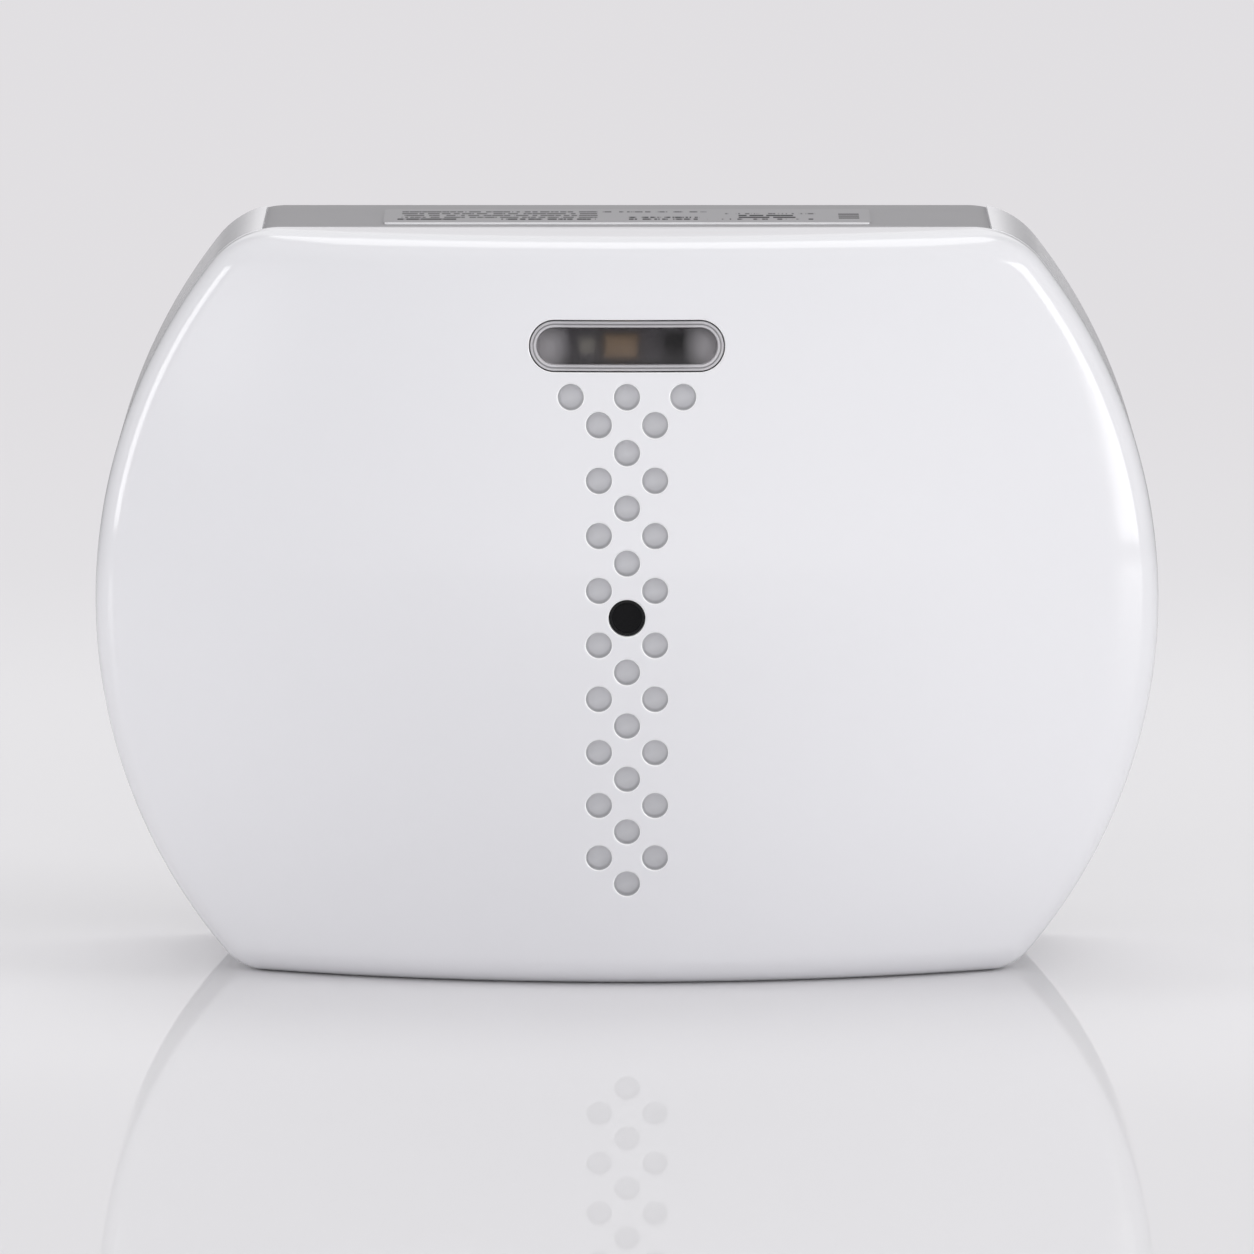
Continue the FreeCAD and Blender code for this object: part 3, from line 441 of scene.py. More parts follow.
def smoked_lens(name, finish):
    """Smoked translucent plastic. Its rim is glossy and painted paler, as a reflection of its
    bevel, with painted shade darkening its groove, and its field is frosted, with milky ends that
    paint the glow of the light box behind them and a faint haze at its foot.

    How far out a point is comes from a stadium: its distance from the level line in the middle.
    """
    f = Finish(name)
    x, _, z = f.parts(f.place)
    frost = f.noise(0.07 * MM, 2.0)
    past, up = x.maths("MAXIMUM", abs(x) - WINDOW_RUN, 0.0), z - WINDOW_Z
    out = (past * past + up * up).root()
    rim = out.above(HALF_WINDOW - LENS_GAP - LENS_RIM - 0.02 * MM, 0.06 * MM)
    rim = rim * dome_depth(f).below(1.2 * MM, 0.6 * MM)
    groove = abs(out - (HALF_WINDOW - LENS_GAP - LENS_RIM / 2)).below(0.07 * MM, 0.06 * MM)
    tint, pale = finish.lens_colour, finish.lens_rim_painted_reflection
    tone = f.blend(f.noise(5 * MM, 2.0), scaled(tint, 0.96), scaled(tint, 1.04))
    # Painted reflection and shade: the rim is coloured paler for what its bevel reflects, and its
    # groove darker.
    tone = f.blend(rim, tone, f.blend(groove, pale, scaled(pale, 0.45)))
    rough = finish.lens_roughness + 0.06 * (frost - 0.5) - rim * (finish.lens_roughness - 0.12)
    normal = f.bump(frost, 1.5 * MICRON)
    clear = f.surface(tone, rough, normal, Transmission_Weight=0.985, IOR=1.15)
    milky = f.surface(tone, rough, normal, IOR=1.49)
    # Painted light: the field is made milky at its ends for the glow of the light box's white ends
    # behind it.
    end, aside = abs(x) - LENS_PAINTED_GLOW_END, 0.75 * up
    ends = (end * end + aside * aside).root().below(1.1 * MM, 2.4 * MM)
    haze = 0.03 * (WINDOW_Z - z).above(0.8 * MM, 2.0 * MM)
    return f.done(f.mixed(0.68 * rim + 0.32 * ends + haze, clear, milky))


def black_rubber(name):
    """Black rubber with a faint bloom, and a skin finer than that."""
    f = Finish(name)
    bloom, skin = f.noise(0.9 * MM, 4.0), f.noise(0.06 * MM, 2.0)
    tone = f.blend(bloom, (0.003, 0.003, 0.0035), (0.008, 0.008, 0.009))
    rough = 0.5 + 0.2 * (bloom - 0.5)
    return f.done(f.surface(tone, rough, f.bump(skin, 5 * MICRON), Specular_IOR_Level=0.25))


def black_felt(name):
    """Short crossed fibres."""
    f = Finish(name)
    one, two = [f.noise(0.3 * MM, 4.0, 0.7, f.stretched(scale))
                for scale in ((1.0, 1.0, 7.0), (7.0, 1.0, 1.0))]
    fibre = 3.0 * (one * two)
    tone = f.blend(fibre, (0.002, 0.002, 0.0025), (0.011, 0.011, 0.012))
    return f.done(f.surface(tone, 0.9, f.bump(fibre, 25 * MICRON), Specular_IOR_Level=0.15))


def board_laminate(name, finish):
    """Solder resist over copper tracks, and the bare laminate's edge."""
    f = Finish(name)
    x, _, z = f.parts(f.place)
    resist, strand = finish.board_colour, 0.5 * MM
    tracks = (x + 0.35 * z).repeat(1.3 * MM).within(0.3 * MM, 0.55 * MM, 0.04 * MM)
    tracks = tracks * f.noise(11 * MM, 0.0).above(0.5, 0.02)
    weave = (x.repeat(strand) / strand - 0.5) * (z.repeat(strand) / strand - 0.5)
    tone = f.blend(0.7 * tracks, resist, scaled(resist, 1.5))
    tone = f.blend(0.25 + weave, tone, scaled(resist, 0.8))
    edge = abs(f.parts(f.facing())[1]).below(0.5, 0.1)
    tone = f.blend(edge, tone, (0.45, 0.4, 0.22))
    return f.done(f.surface(tone, 0.28 + 0.4 * edge, f.bump(tracks, 25 * MICRON)))


def label_film(name, finish):
    """Satin film printed with rows of plain dashes. There is no lettering in them.

    Which row a point is in picks a line through a noise, and the noise along it makes the dashes.
    """
    f = Finish(name)
    x, y, _ = f.parts(f.place)
    low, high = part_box("top_label")
    u, v = x - (low.x + high.x) / 2, y - low.y
    across = (v - ROW_START).repeat(ROW_PITCH)
    line = f.node("ShaderNodeCombineXYZ", sockets={"X": u, "Y": 40 * (v - across)})
    specks = f.noise(0.8 * MM, 2.0, place=line)
    ink = 0.0
    for left, right, near, far, bare, strength in PRINTED_FIELDS:
        field = u.within(left * MM, right * MM, SOFT) * v.within(near * MM, far * MM, SOFT)
        ink = strength * field * specks.above(bare, DASH_SOFT) + ink
    bars = u.within(21.6 * MM, 23.7 * MM, SOFT / 2) * v.within(4.2 * MM, 9.9 * MM, SOFT / 2)
    bars = bars * v.repeat(1.9 * MM).within(0.4 * MM, 1.5 * MM, SOFT)
    ink = ink * across.within(0.06 * ROW_PITCH, 0.76 * ROW_PITCH, SOFT) + 0.9 * bars
    film = finish.label_colour
    fibre = f.noise(0.35 * MM)
    tone = f.blend(fibre, scaled(film, 0.95), scaled(film, 1.05))
    tone = f.blend(ink, tone, finish.print_colour)
    # Painted highlight: a pale strip along the label's front edge.
    tone = f.blend(v.below(0.35 * MM, SOFT), tone, (0.95, 0.95, 0.96))
    return f.grained(tone, 0.6, fibre, 0.1, 3 * MICRON, Specular_IOR_Level=0.12)


# Properties

COLOUR = {"subtype": "COLOR", "size": 3, "min": 0.0, "max": 1.0}
SHARE = {"subtype": "FACTOR", "min": 0.0, "max": 1.0}


class DetectorFinish(bpy.types.PropertyGroup):
    """Colours and gloss of the pieces."""

    shell_colour: bpy.props.FloatVectorProperty(
        name="Shell", description="White of both mouldings",
        default=(0.80, 0.80, 0.82), **COLOUR,
    )
    shell_roughness: bpy.props.FloatProperty(
        name="Shell roughness", description="Blur of the shells' reflections",
        default=0.1, **SHARE,
    )
    # Painted shade: how much darker than the shell the dimples are coloured.
    painted_dimple_shade: bpy.props.FloatProperty(
        name="Dimple shade", description="Brightness of the matt dimples against the shell",
        default=0.93, **SHARE,
    )
    panel_colour: bpy.props.FloatVectorProperty(
        name="Panel", description="Grey of the sunk panel on the top",
        default=(0.295, 0.29, 0.3), **COLOUR,
    )
    label_colour: bpy.props.FloatVectorProperty(
        name="Label", description="Film of the label",
        default=(0.37, 0.365, 0.375), **COLOUR,
    )
    print_colour: bpy.props.FloatVectorProperty(
        name="Print", description="Bars on the label",
        default=(0.02, 0.02, 0.022), **COLOUR,
    )
    lens_colour: bpy.props.FloatVectorProperty(
        name="Lens", description="Smoke of the window",
        default=(0.66, 0.64, 0.66), **COLOUR,
    )
    # Painted reflection: the paler colour of the lens rim stands in for what its bevel reflects.
    lens_rim_painted_reflection: bpy.props.FloatVectorProperty(
        name="Lens rim", description="Paler rim round the window",
        default=(0.66, 0.65, 0.67), **COLOUR,
    )
    lens_roughness: bpy.props.FloatProperty(
        name="Lens frosting", description="Blur of what is seen through the window",
        default=0.42, **SHARE,
    )
    board_colour: bpy.props.FloatVectorProperty(
        name="Solder resist", description="Lacquer on the circuit board",
        default=(0.28, 0.275, 0.29), **COLOUR,
    )


class DetectorStudio(bpy.types.PropertyGroup):
    """Camera, lamps and ground of the picture."""

    distance: bpy.props.FloatProperty(
        name="Distance", description="From the camera to the middle of the detector",
        subtype="DISTANCE", unit="LENGTH", default=1.5,
    )
    elevation: bpy.props.FloatProperty(
        name="Elevation", description="Height of the camera over the horizontal", subtype="ANGLE",
        unit="ROTATION", default=math.radians(7.41),
    )
    lens: bpy.props.FloatProperty(
        name="Lens", description="Focal length on a 36 mm wide frame", subtype="DISTANCE_CAMERA",
        unit="CAMERA", default=422.9,
    )
    aim_drop: bpy.props.FloatProperty(
        name="Aim drop", description="How far under the detector's middle the camera aims",
        subtype="DISTANCE", unit="LENGTH", default=3.2 * MM,
    )
    ground_colour: bpy.props.FloatVectorProperty(
        name="Ground", description="Pale ground near the detector",
        default=(0.83, 0.823, 0.835), **COLOUR,
    )
    backdrop_colour: bpy.props.FloatVectorProperty(
        name="Backdrop", description="Even colour behind the detector",
        default=(0.755, 0.74, 0.76), **COLOUR,
    )
    ground_roughness: bpy.props.FloatProperty(
        name="Ground roughness", description="Blur of the ground's reflections",
        default=0.02, **SHARE,
    )


# Surfaces


def direction(turn):
    """The direction in a plane that each angle gives."""
    return np.stack([np.cos(turn), np.sin(turn)], -1)


def with_y(flat, y):
    """Points in the frame from their x and z, with y put between."""
    return np.stack([flat[..., 0], np.broadcast_to(y, flat.shape[:-1]), flat[..., 1]], -1)


def face_y(x, z, inset):
    """How far back the dome is at x and z, moved in by inset: a ball's front half."""
    return DOME_CENTRE[1] - np.sqrt((DOME_RADIUS - inset) ** 2 - x**2 - (z - MIDDLE_Z) ** 2)


def round_corners(corners):
    """A line through corners, each given with a radius. A corner is a parabola between the points
    that lie its radius before and after it: (1-t)^2 before + 2t(1-t) corner + t^2 after."""
    corners = np.array(corners, float)
    places, radii = corners[:, :2], corners[1:-1, 2]
    t = np.linspace(0.0, 1.0, 5)[:, None]
    parts = [places[:1]]
    for before, at, after, radius in zip(places, places[1:], places[2:], radii):
        start = at + (before - at) * radius / np.linalg.norm(before - at)
        end = at + (after - at) * radius / np.linalg.norm(after - at)
        parts.append((1 - t) ** 2 * start + 2 * t * (1 - t) * at + t**2 * end)
    return np.concatenate([*parts, places[-1:]])


def stadium_band(profile, x, z, half_length, turns=24, straights=30):
    """A profile of distances and insets, carried round a stadium on the dome.

    Round the stadium the direction turns half a circle at each end of a level line, and stands
    still along the straights while the foot moves from end to end. A point is the foot plus the
    direction times the profile's distance, and it lies on the dome moved in by the profile's inset.
    """
    turn = np.linspace(-math.pi / 2, math.pi / 2, turns)
    along = np.linspace(1.0, -1.0, straights)[1:-1]
    still = np.full(len(along), math.pi / 2)
    angle = np.concatenate([turn, still, turn + math.pi, -still])[:, None]
    foot = np.concatenate([np.ones(turns), along, -np.ones(turns), -along])[:, None]
    distance, inset = profile[:, 0], profile[:, 1]
    x = x + foot * half_length + np.cos(angle) * distance
    z = z + np.sin(angle) * distance
    return np.stack([x, face_y(x, z, inset), z], -1)


def case_outline():
    """Points of the case seen from the front, and the outward direction at each, in a closed loop.

    The direction turns from straight up, round a side, to straight down. A point is the centre of
    the arc that it is on plus the arc's radius times the direction: the arc of the top corner, of
    the side or of the bottom corner. Two flats join this half to its mirror image.
    """
    top_z, low_z = MIDDLE_Z - TOP_CORNER_RADIUS, BOTTOM_CORNER_RADIUS - MIDDLE_Z
    top_x = math.sqrt((SIDE_RADIUS - TOP_CORNER_RADIUS) ** 2 - top_z**2)
    low_x = math.sqrt((SIDE_RADIUS - BOTTOM_CORNER_RADIUS) ** 2 - low_z**2)
    top_turn, low_turn = math.atan2(top_z, top_x), math.atan2(low_z, low_x)
    arcs = (
        ((top_x, top_z), TOP_CORNER_RADIUS, np.linspace(math.pi / 2, top_turn, 48)),
        ((0.0, 0.0), SIDE_RADIUS, np.linspace(top_turn, low_turn, 240)[1:-1]),
        ((low_x, low_z), BOTTOM_CORNER_RADIUS, np.linspace(low_turn, -math.pi / 2, 32)),
    )
    right = np.concatenate([centre + radius * direction(turn) for centre, radius, turn in arcs])
    right += (-SIDE_CENTRE_OFFSET, MIDDLE_Z)
    facing = direction(np.concatenate([turn for centre, radius, turn in arcs]))
    low_flat = np.linspace(right[-1], right[-1] * MIRROR, FLAT_POINTS + 2)[1:-1]
    top_flat = np.linspace(right[0] * MIRROR, right[0], FLAT_POINTS + 2)[1:-1]
    down, up = np.tile([0.0, -1.0], (FLAT_POINTS, 1)), np.tile([0.0, 1.0], (FLAT_POINTS, 1))
    points = np.concatenate([right, low_flat, right[::-1] * MIRROR, top_flat])
    return points, np.concatenate([facing, down, facing[::-1] * MIRROR, up])


def cover_edge():
    """Rings from the dome's edge, over the rounded face edge, to the seam and its rebate.

    The face edge is the path of a ball that touches dome and side: its centre lies on both, moved
    in by its radius. Round that centre the direction swings from the dome's normal to the side's.
    """
    points, out = case_outline()
    foot = points - FACE_EDGE_RADIUS * out
    foot_y = face_y(foot[:, 0], foot[:, 1], FACE_EDGE_RADIUS)
    centre = with_y(foot, foot_y)
    on_dome = (centre - DOME_CENTRE) / (DOME_RADIUS - FACE_EDGE_RADIUS)
    on_side = with_y(out, 0.0)
    swing = np.arccos((on_dome * on_side).sum(1))[:, None, None]
    t = np.linspace(0.0, 1.0, 15)[None, :, None]
    towards = np.sin((1 - t) * swing) * on_dome[:, None] + np.sin(t * swing) * on_side[:, None]
    rounded = centre[:, None] + FACE_EDGE_RADIUS * towards / np.sin(swing)
    turn = np.linspace(0.0, math.pi / 2, 5)
    rounding = SEAM_EDGE_RADIUS * (1 - np.cos(turn))
    inset = np.concatenate([[0.0, 0.0], rounding, [SHIPLAP, SHIPLAP, WALL]])
    seam, step = SEAM_Y - SEAM_EDGE_RADIUS, SEAM_Y - SHIPLAP_DEPTH
    back = np.concatenate([seam + SEAM_EDGE_RADIUS * np.sin(turn), [SEAM_Y, step, step]])
    side_ys = foot_y[:, None] + (seam - foot_y[:, None]) * np.array([0.35, 0.7])
    ys = np.concatenate([side_ys, np.tile(back, (len(out), 1))], 1)
    side = with_y(points[:, None] - inset[None, :, None] * out[:, None], ys)
    return np.concatenate([rounded, side], 1)


def base_outline():
    """The case's outline with two points at each end of the label panel, which are on the arc of
    the top corner, and how deep the panel is at each point."""
    points, out = case_outline()
    centre = points[0] - (0.0, TOP_CORNER_RADIUS)
    facing = direction(math.acos((PANEL_HALF_WIDTH - centre[0]) / TOP_CORNER_RADIUS))
    corner = centre + TOP_CORNER_RADIUS * facing
    inside = (points[:, 1] > MIDDLE_Z) & (np.abs(points[:, 0]) < PANEL_HALF_WIDTH)
    where = [np.argmin(inside)] * 2 + [len(points) - np.argmin(inside[::-1])] * 2
    ends = [corner, corner, corner * MIRROR, corner * MIRROR]
    points = np.insert(points, where, ends, axis=0)
    out = np.insert(out, where, [facing, facing, facing * MIRROR, facing * MIRROR], axis=0)
    return points, out, PANEL_DEPTH * np.insert(inside, where, [True, False, False, True])


def base_edge():
    """Rings from the flat of the back, over its rounded edge, to the seam, over the lip and to its
    inside.

    A ring is the outline moved in by the profile's inset, and by no less than the panel's depth.
    The two rounded edges are quarter circles. Where the underside is flat, the seam's edge is
    sharp. Returned with the rings are their faces, without those of the flat underside.
    """
    points, out, sunk = base_outline()
    flat = out[:, 1] < -1 + 1e-9
    radius = np.where(flat, 0.0, SEAM_EDGE_RADIUS)[:, None]
    fillet, quarter = np.linspace(math.pi / 2, 0.0, 9), np.linspace(0.0, math.pi / 2, 5)
    turned = HALF_DEPTH - BACK_EDGE_RADIUS
    every = np.ones((len(points), 1))
    rounding = BACK_EDGE_RADIUS * (1 - np.cos(fillet))
    inset = np.concatenate([[BACK_EDGE_RADIUS + EDGE_BAND], rounding, [0.0, 0.0]])
    seam = radius * (1 - np.cos(quarter))
    inset = np.concatenate([every * inset, seam, every * [LIP_INSET, LIP_INSET, WALL]], 1)
    side = [turned - EDGE_BAND, BASE_Y + SEAM_EDGE_RADIUS + EDGE_BAND]
    back = np.concatenate([[HALF_DEPTH], turned + BACK_EDGE_RADIUS * np.sin(fillet), side])
    seam, lip_y = BASE_Y + radius * (1 - np.sin(quarter)), SEAM_Y - LIP_DEPTH
    ys = np.concatenate([every * back, seam, every * [BASE_Y, lip_y, lip_y]], 1)
    rings = with_y(points[:, None] - np.maximum(inset, sunk[:, None])[..., None] * out[:, None], ys)
    faces = grid_faces(*rings.shape[:2], closed_u=True)
    column, row = faces[:, 0] % rings.shape[1], faces[:, 0] // rings.shape[1]
    under = flat[row] & np.roll(flat, -1)[row]
    under &= (column >= len(fillet)) & (column < rings.shape[1] - 4)
    return rings, faces[~under][:, ::-1]


def in_holes(points, starts, ends):
    """Which points lie in a hole: a level line from such a point to the right crosses an odd number
    of the holes' edges."""
    x, z = points[:, :1], points[:, 1:]
    rise = ends[:, 1] - starts[:, 1]
    crossed = (starts[:, 1] > z) != (ends[:, 1] > z)
    share = (z - starts[:, 1]) / np.where(rise == 0.0, 1.0, rise)
    return (crossed & (x < starts[:, 0] + share * (ends - starts)[:, 0])).sum(1) % 2 == 1


def ring_edges(size, start=0):
    """The edges of a closed ring of points that are numbered from start."""
    around = np.arange(size)
    return start + np.stack([around, (around + 1) % size], 1)


def triangles_over(flat, edges, kind):
    """Triangles over points given by x and z that keep the given edges. Kind 0 covers all that the
    points span, and kind 1 what the edges enclose."""
    flat = [Vector(point) for point in flat.tolist()]
    made = delaunay_2d_cdt(flat, edges.tolist(), [], kind, 1e-9, False)
    return np.array([tuple(point) for point in made[0]]), np.array(made[2])


def facing_y(points, faces):
    """The part along Y of the direction in which each face looks."""
    a, b, c = points[faces[:, 0]], points[faces[:, 1]], points[faces[:, 2]]
    return np.cross(b - a, c - a)[:, 1]


def back_plane(loop):
    """The flat of the back: triangles between the innermost ring and the holes of the frame's own
    mesh. A hole's edges are those that belong to one triangle of the flat and don't lie along its
    outside."""
    points, faces = frame_triangles("rear_base")
    points, same = np.unique(np.round(points, 7), axis=0, return_inverse=True)
    faces = same.reshape(-1)[faces]
    faces = faces[(points[faces][..., 1] > HALF_DEPTH - TOUCH).all(1)]
    edges = np.sort(faces[:, [[0, 1], [1, 2], [2, 0]]].reshape(-1, 2), axis=1)
    edges, uses = np.unique(edges, axis=0, return_counts=True)
    inner = (case_depth(points)[edges] > 2 * BACK_EDGE_RADIUS).all(1)
    edges, flat = edges[(uses == 1) & inner], points[:, [0, 2]]
    starts, ends = flat[edges[:, 0]], flat[edges[:, 1]]
    used, edges = np.unique(edges, return_inverse=True)
    edges = np.concatenate([ring_edges(len(loop)), edges.reshape(-1, 2) + len(loop)])
    flat, faces = triangles_over(np.concatenate([loop[:, [0, 2]], flat[used]]), edges, 1)
    faces = faces[~in_holes(flat[faces].mean(1), starts, ends)]
    points = with_y(flat, HALF_DEPTH)
    return points, np.where(facing_y(points, faces)[:, None] < 0, faces[:, ::-1], faces)


def base_mesh():
    """The base: its outside from the surfaces above, and the rest from the frame's own mesh, which
    is its inside, the flat of the underside and the recess of the screw."""
    rings, around = base_edge()
    points, faces = frame_triangles("rear_base")
    corners = points[faces]
    middle = corners.mean(1)
    deep = case_depth(middle) > INNER_DEPTH
    under = (corners[..., 2] < TOUCH).all(1)
    recess = (np.abs(middle[:, 0]) < RECESS_HALF_WIDTH) & (middle[:, 2] < WALL)
    recess &= middle[:, 1] > BASE_Y + 0.5 * MM
    recess &= middle[:, 1] < HALF_DEPTH - 2 * BACK_EDGE_RADIUS
    at_back = (corners[..., 1] > HALF_DEPTH - TOUCH).all(1)
    kept = faces[(deep | under | recess) & ~at_back]
    outside = (rings.reshape(-1, 3), around)
    return joined("rear_shell", [(points, kept), outside, back_plane(rings[:, 0])])


def dimple_places():
    """Columns and rows counted from the port: one, then two beside it, by turns, and three at the
    top."""
    odd, even = np.arange(-9, 8, 2), np.array([-10, -8, -6, -4, -2, 2, 4, 6])
    places = [(0, row) for row in even] + [(side, row) for row in odd for side in (-1, 1)]
    places += [(column, 8) for column in (-2, 0, 2)]
    return np.array(places) * (DIMPLE_COLUMN_SPACING, DIMPLE_ROW_SPACING) + (0.0, PORT_Z)


def mouth_profile(radius, depth, blind=False):
    """From the dome over a rounded rim down the wall of a hole, and for a blind one over its floor.
    The rim is a quarter circle of distances and insets, and the floor a quarter of an ellipse."""
    rim = RIM_RADIUS * (1 - direction(np.linspace(math.pi / 2, 0.0, 6)))
    profile = [(radius + RIM_RADIUS + RIM_BORDER, 0.0), *(rim + (radius, 0.0))]
    if blind:
        turn = np.linspace(0.0, math.pi / 2, 8)
        floor = [radius * np.cos(turn), depth - DIMPLE_BOWL * (1 - np.sin(turn))]
        return np.concatenate([profile, np.transpose(floor)])
    return np.array([*profile, (radius, depth)])


def mouths():
    """The middle, half length and grid of points of each dimple, the port and the window."""
    dimple = mouth_profile(DIMPLE_RADIUS, DIMPLE_DEPTH, blind=True)
    port, window = mouth_profile(PORT_RADIUS, WALL), mouth_profile(HALF_WINDOW, WALL)
    holes = [(x, z, 0.0, dimple, 24, 2) for x, z in dimple_places()]
    holes.append((0.0, PORT_Z, 0.0, port, 32, 2))
    holes.append((0.0, WINDOW_Z, WINDOW_RUN, window, 24, 26))
    return [(x, z, half, stadium_band(profile, x, z, half, turns, straights))
            for x, z, half, profile, turns, straights in holes]


def stadium_distance(points, x, z, half):
    """How far each point is from a level line of the given half length."""
    past = np.maximum(np.abs(points[:, 0] - x) - half, 0.0)
    return np.hypot(past, points[:, 1] - z)


def past_hole(points, x, z, half, band):
    """How far each point is outside the outermost ring of a hole."""
    ring = stadium_distance(band[:1, 0][:, [0, 2]], x, z, half)[0]
    return stadium_distance(points, x, z, half) - ring


def dome_panel(edge, holes):
    """Triangles over the dome between its edge and the holes, from an even scatter of points."""
    rows = np.arange(-HALF_WIDTH, HALF_WIDTH, DOME_STEP * math.sqrt(3) / 2)
    columns = np.arange(-HALF_WIDTH, HALF_WIDTH, DOME_STEP)
    x, z = np.meshgrid(columns, rows)
    x = x + DOME_STEP / 2 * (np.arange(len(rows)) % 2)[:, None]
    scatter = np.stack([x.ravel(), z.ravel() + MIDDLE_Z], 1)
    clear = 0.7 * DOME_STEP
    foot, out = case_outline()
    scale = DOME_RADIUS / (DOME_RADIUS - FACE_EDGE_RADIUS)
    limit = ((foot - FACE_EDGE_RADIUS * out - (0, MIDDLE_Z)) * scale * out).sum(1)
    scatter = scatter[((scatter - (0, MIDDLE_Z)) @ out.T < limit - clear).all(1)]
    for hole in holes:
        scatter = scatter[past_hole(scatter, *hole) > clear / 2]
    loops = [band[:, 0][:, [0, 2]] for band in (edge, *[hole[3] for hole in holes])]
    starts = np.cumsum([0] + [len(loop) for loop in loops])
    edges = np.concatenate([ring_edges(len(loop), start) for loop, start in zip(loops, starts)])
    flat, faces = triangles_over(np.concatenate([*loops, scatter]), edges, 0)
    for hole in holes:
        faces = faces[past_hole(flat[faces].mean(1), *hole) > 0.0]
    points = with_y(flat, face_y(flat[:, 0], flat[:, 1], 0.0))
    return points, np.where(facing_y(points, faces)[:, None] > 0, faces[:, ::-1], faces)


def frame_triangles(node):
    """Points and triangles of a node's mesh."""
    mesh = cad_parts[node].data
    points = np.empty(len(mesh.vertices) * 3)
    mesh.vertices.foreach_get("co", points)
    mesh.calc_loop_triangles()
    faces = np.empty(len(mesh.loop_triangles) * 3, np.int32)
    mesh.loop_triangles.foreach_get("vertices", faces)
    return points.reshape(-1, 3), faces.reshape(-1, 3)


def case_depth(points):
    """How deep points lie: the least of their depths under the dome, the sides, the top and the
    bottom."""
    x, z = np.abs(points[:, 0]), points[:, 2]
    side = SIDE_RADIUS - np.hypot(x + SIDE_CENTRE_OFFSET, z - MIDDLE_Z)
    under_dome = DOME_RADIUS - np.linalg.norm(points - DOME_CENTRE, axis=1)
    return np.minimum.reduce([side, under_dome, z, CASE_HEIGHT - z])


def grid_faces(rows, columns, closed_u=False):
    """Four neighbouring points of a grid make a face."""
    u = np.arange(rows if closed_u else rows - 1)
    u, v = np.meshgrid(u, np.arange(columns - 1), indexing="ij")
    here, beside = u * columns + v, (u + 1) % rows * columns + v
    return np.stack([here, beside, beside + 1, here + 1], -1).reshape(-1, 4)


def cover_mesh():
    """The cover: its outside from the surfaces above, and its inside from the frame's own mesh,
    which is what lies deeper than the wall."""
    edge, holes = cover_edge(), mouths()
    points, faces = frame_triangles("front_cover")
    inside = points, faces[case_depth(points[faces].mean(1)) > INNER_DEPTH]
    parts = [dome_panel(edge, holes), inside]
    for band in (edge, *[hole[3] for hole in holes]):
        points, faces = band.reshape(-1, 3), grid_faces(*band.shape[:2], closed_u=True)
        inwards = facing_y(points, faces[:1])[0] > 0
        parts.append((points, faces[:, ::-1] if inwards else faces))
    return joined("front_shell", parts)


def new_mesh(name, points, faces):
    """A smoothly shaded mesh."""
    mesh = bpy.data.meshes.new(name)
    mesh.from_pydata(points.tolist(), [], faces)
    mesh.shade_smooth()
    return mesh


def grid_mesh(name, points, closed_u=False):
    """A mesh from an array of points[u, v]: each neighbouring four make a face."""
    faces = grid_faces(*points.shape[:2], closed_u)
    return new_mesh(name, points.reshape(-1, 3), faces.tolist())


def joined(name, parts):
    """One welded mesh from parts, each of them points and faces."""
    starts = np.cumsum([0] + [len(points) for points, faces in parts])
    faces = [face for start, part in zip(starts, parts) for face in (part[1] + start).tolist()]
    mesh = new_mesh(name, np.concatenate([points for points, faces in parts]), faces)
    return weld(mesh, recalculate=False)


def weld(mesh, recalculate=True):
    """Merges the points that meet, turns the faces outwards where asked, and marks sharp edges."""
    work = bmesh.new()
    work.from_mesh(mesh)
    bmesh.ops.remove_doubles(work, verts=work.verts, dist=TOUCH)
    bmesh.ops.dissolve_degenerate(work, edges=work.edges, dist=TOUCH / 10)
    loose = [vert for vert in work.verts if not vert.link_faces]
    bmesh.ops.delete(work, geom=loose, context="VERTS")
    if recalculate:
        bmesh.ops.recalc_face_normals(work, faces=work.faces)
    work.to_mesh(mesh)
    work.free()
    mesh.set_sharp_from_angle(angle=SHARP_EDGE)
    return mesh


def add_object(name, data):
    """Puts a mesh, lamp or camera in the scene."""
    made = bpy.data.objects.new(name, data)
    bpy.context.scene.collection.objects.link(made)
    return made


def aim(holder, place, target):
    """Puts a lamp or camera in its place, looking at the target."""
    holder.location = place
    holder.rotation_euler = (target - Vector(place)).to_track_quat("-Z", "Y").to_euler()


def dress(node, material):
    """Gives a node of the frame its material."""
    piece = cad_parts[node]
    piece.data.materials.clear()
    piece.data.materials.append(material)


def stand_in(mesh, node, material):
    """A piece of the scene that stands in for a node of the housing."""
    piece = add_object(mesh.name, mesh)
    piece.data.materials.append(material)
    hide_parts(node)
    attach(piece, "housing")


def smooth_copy(name, node, material):
    """A merged copy of a node, with smooth curves and sharp edges, that stands in for it."""
    stand_in(joined(name, [frame_triangles(node)]), node, material)


# Operators


class DETECTOR_OT_shells(bpy.types.Operator):
    """Finish the front cover and the rear base"""

    bl_idname = "detector.shells"
    bl_label = "Shells"

    def execute(self, context):
        finish = context.scene.detector_finish
        cover, base = cover_gloss("cover_gloss", finish), base_gloss("base_gloss", finish)
        stand_in(cover_mesh(), "front_cover", cover)
        stand_in(base_mesh(), "rear_base", base)
        return {"FINISHED"}


class DETECTOR_OT_label(bpy.types.Operator):
    """Print the label on the top"""

    bl_idname = "detector.label"
    bl_label = "Label"

    def execute(self, context):
        dress("top_label", label_film("label_film", context.scene.detector_finish))
        return {"FINISHED"}


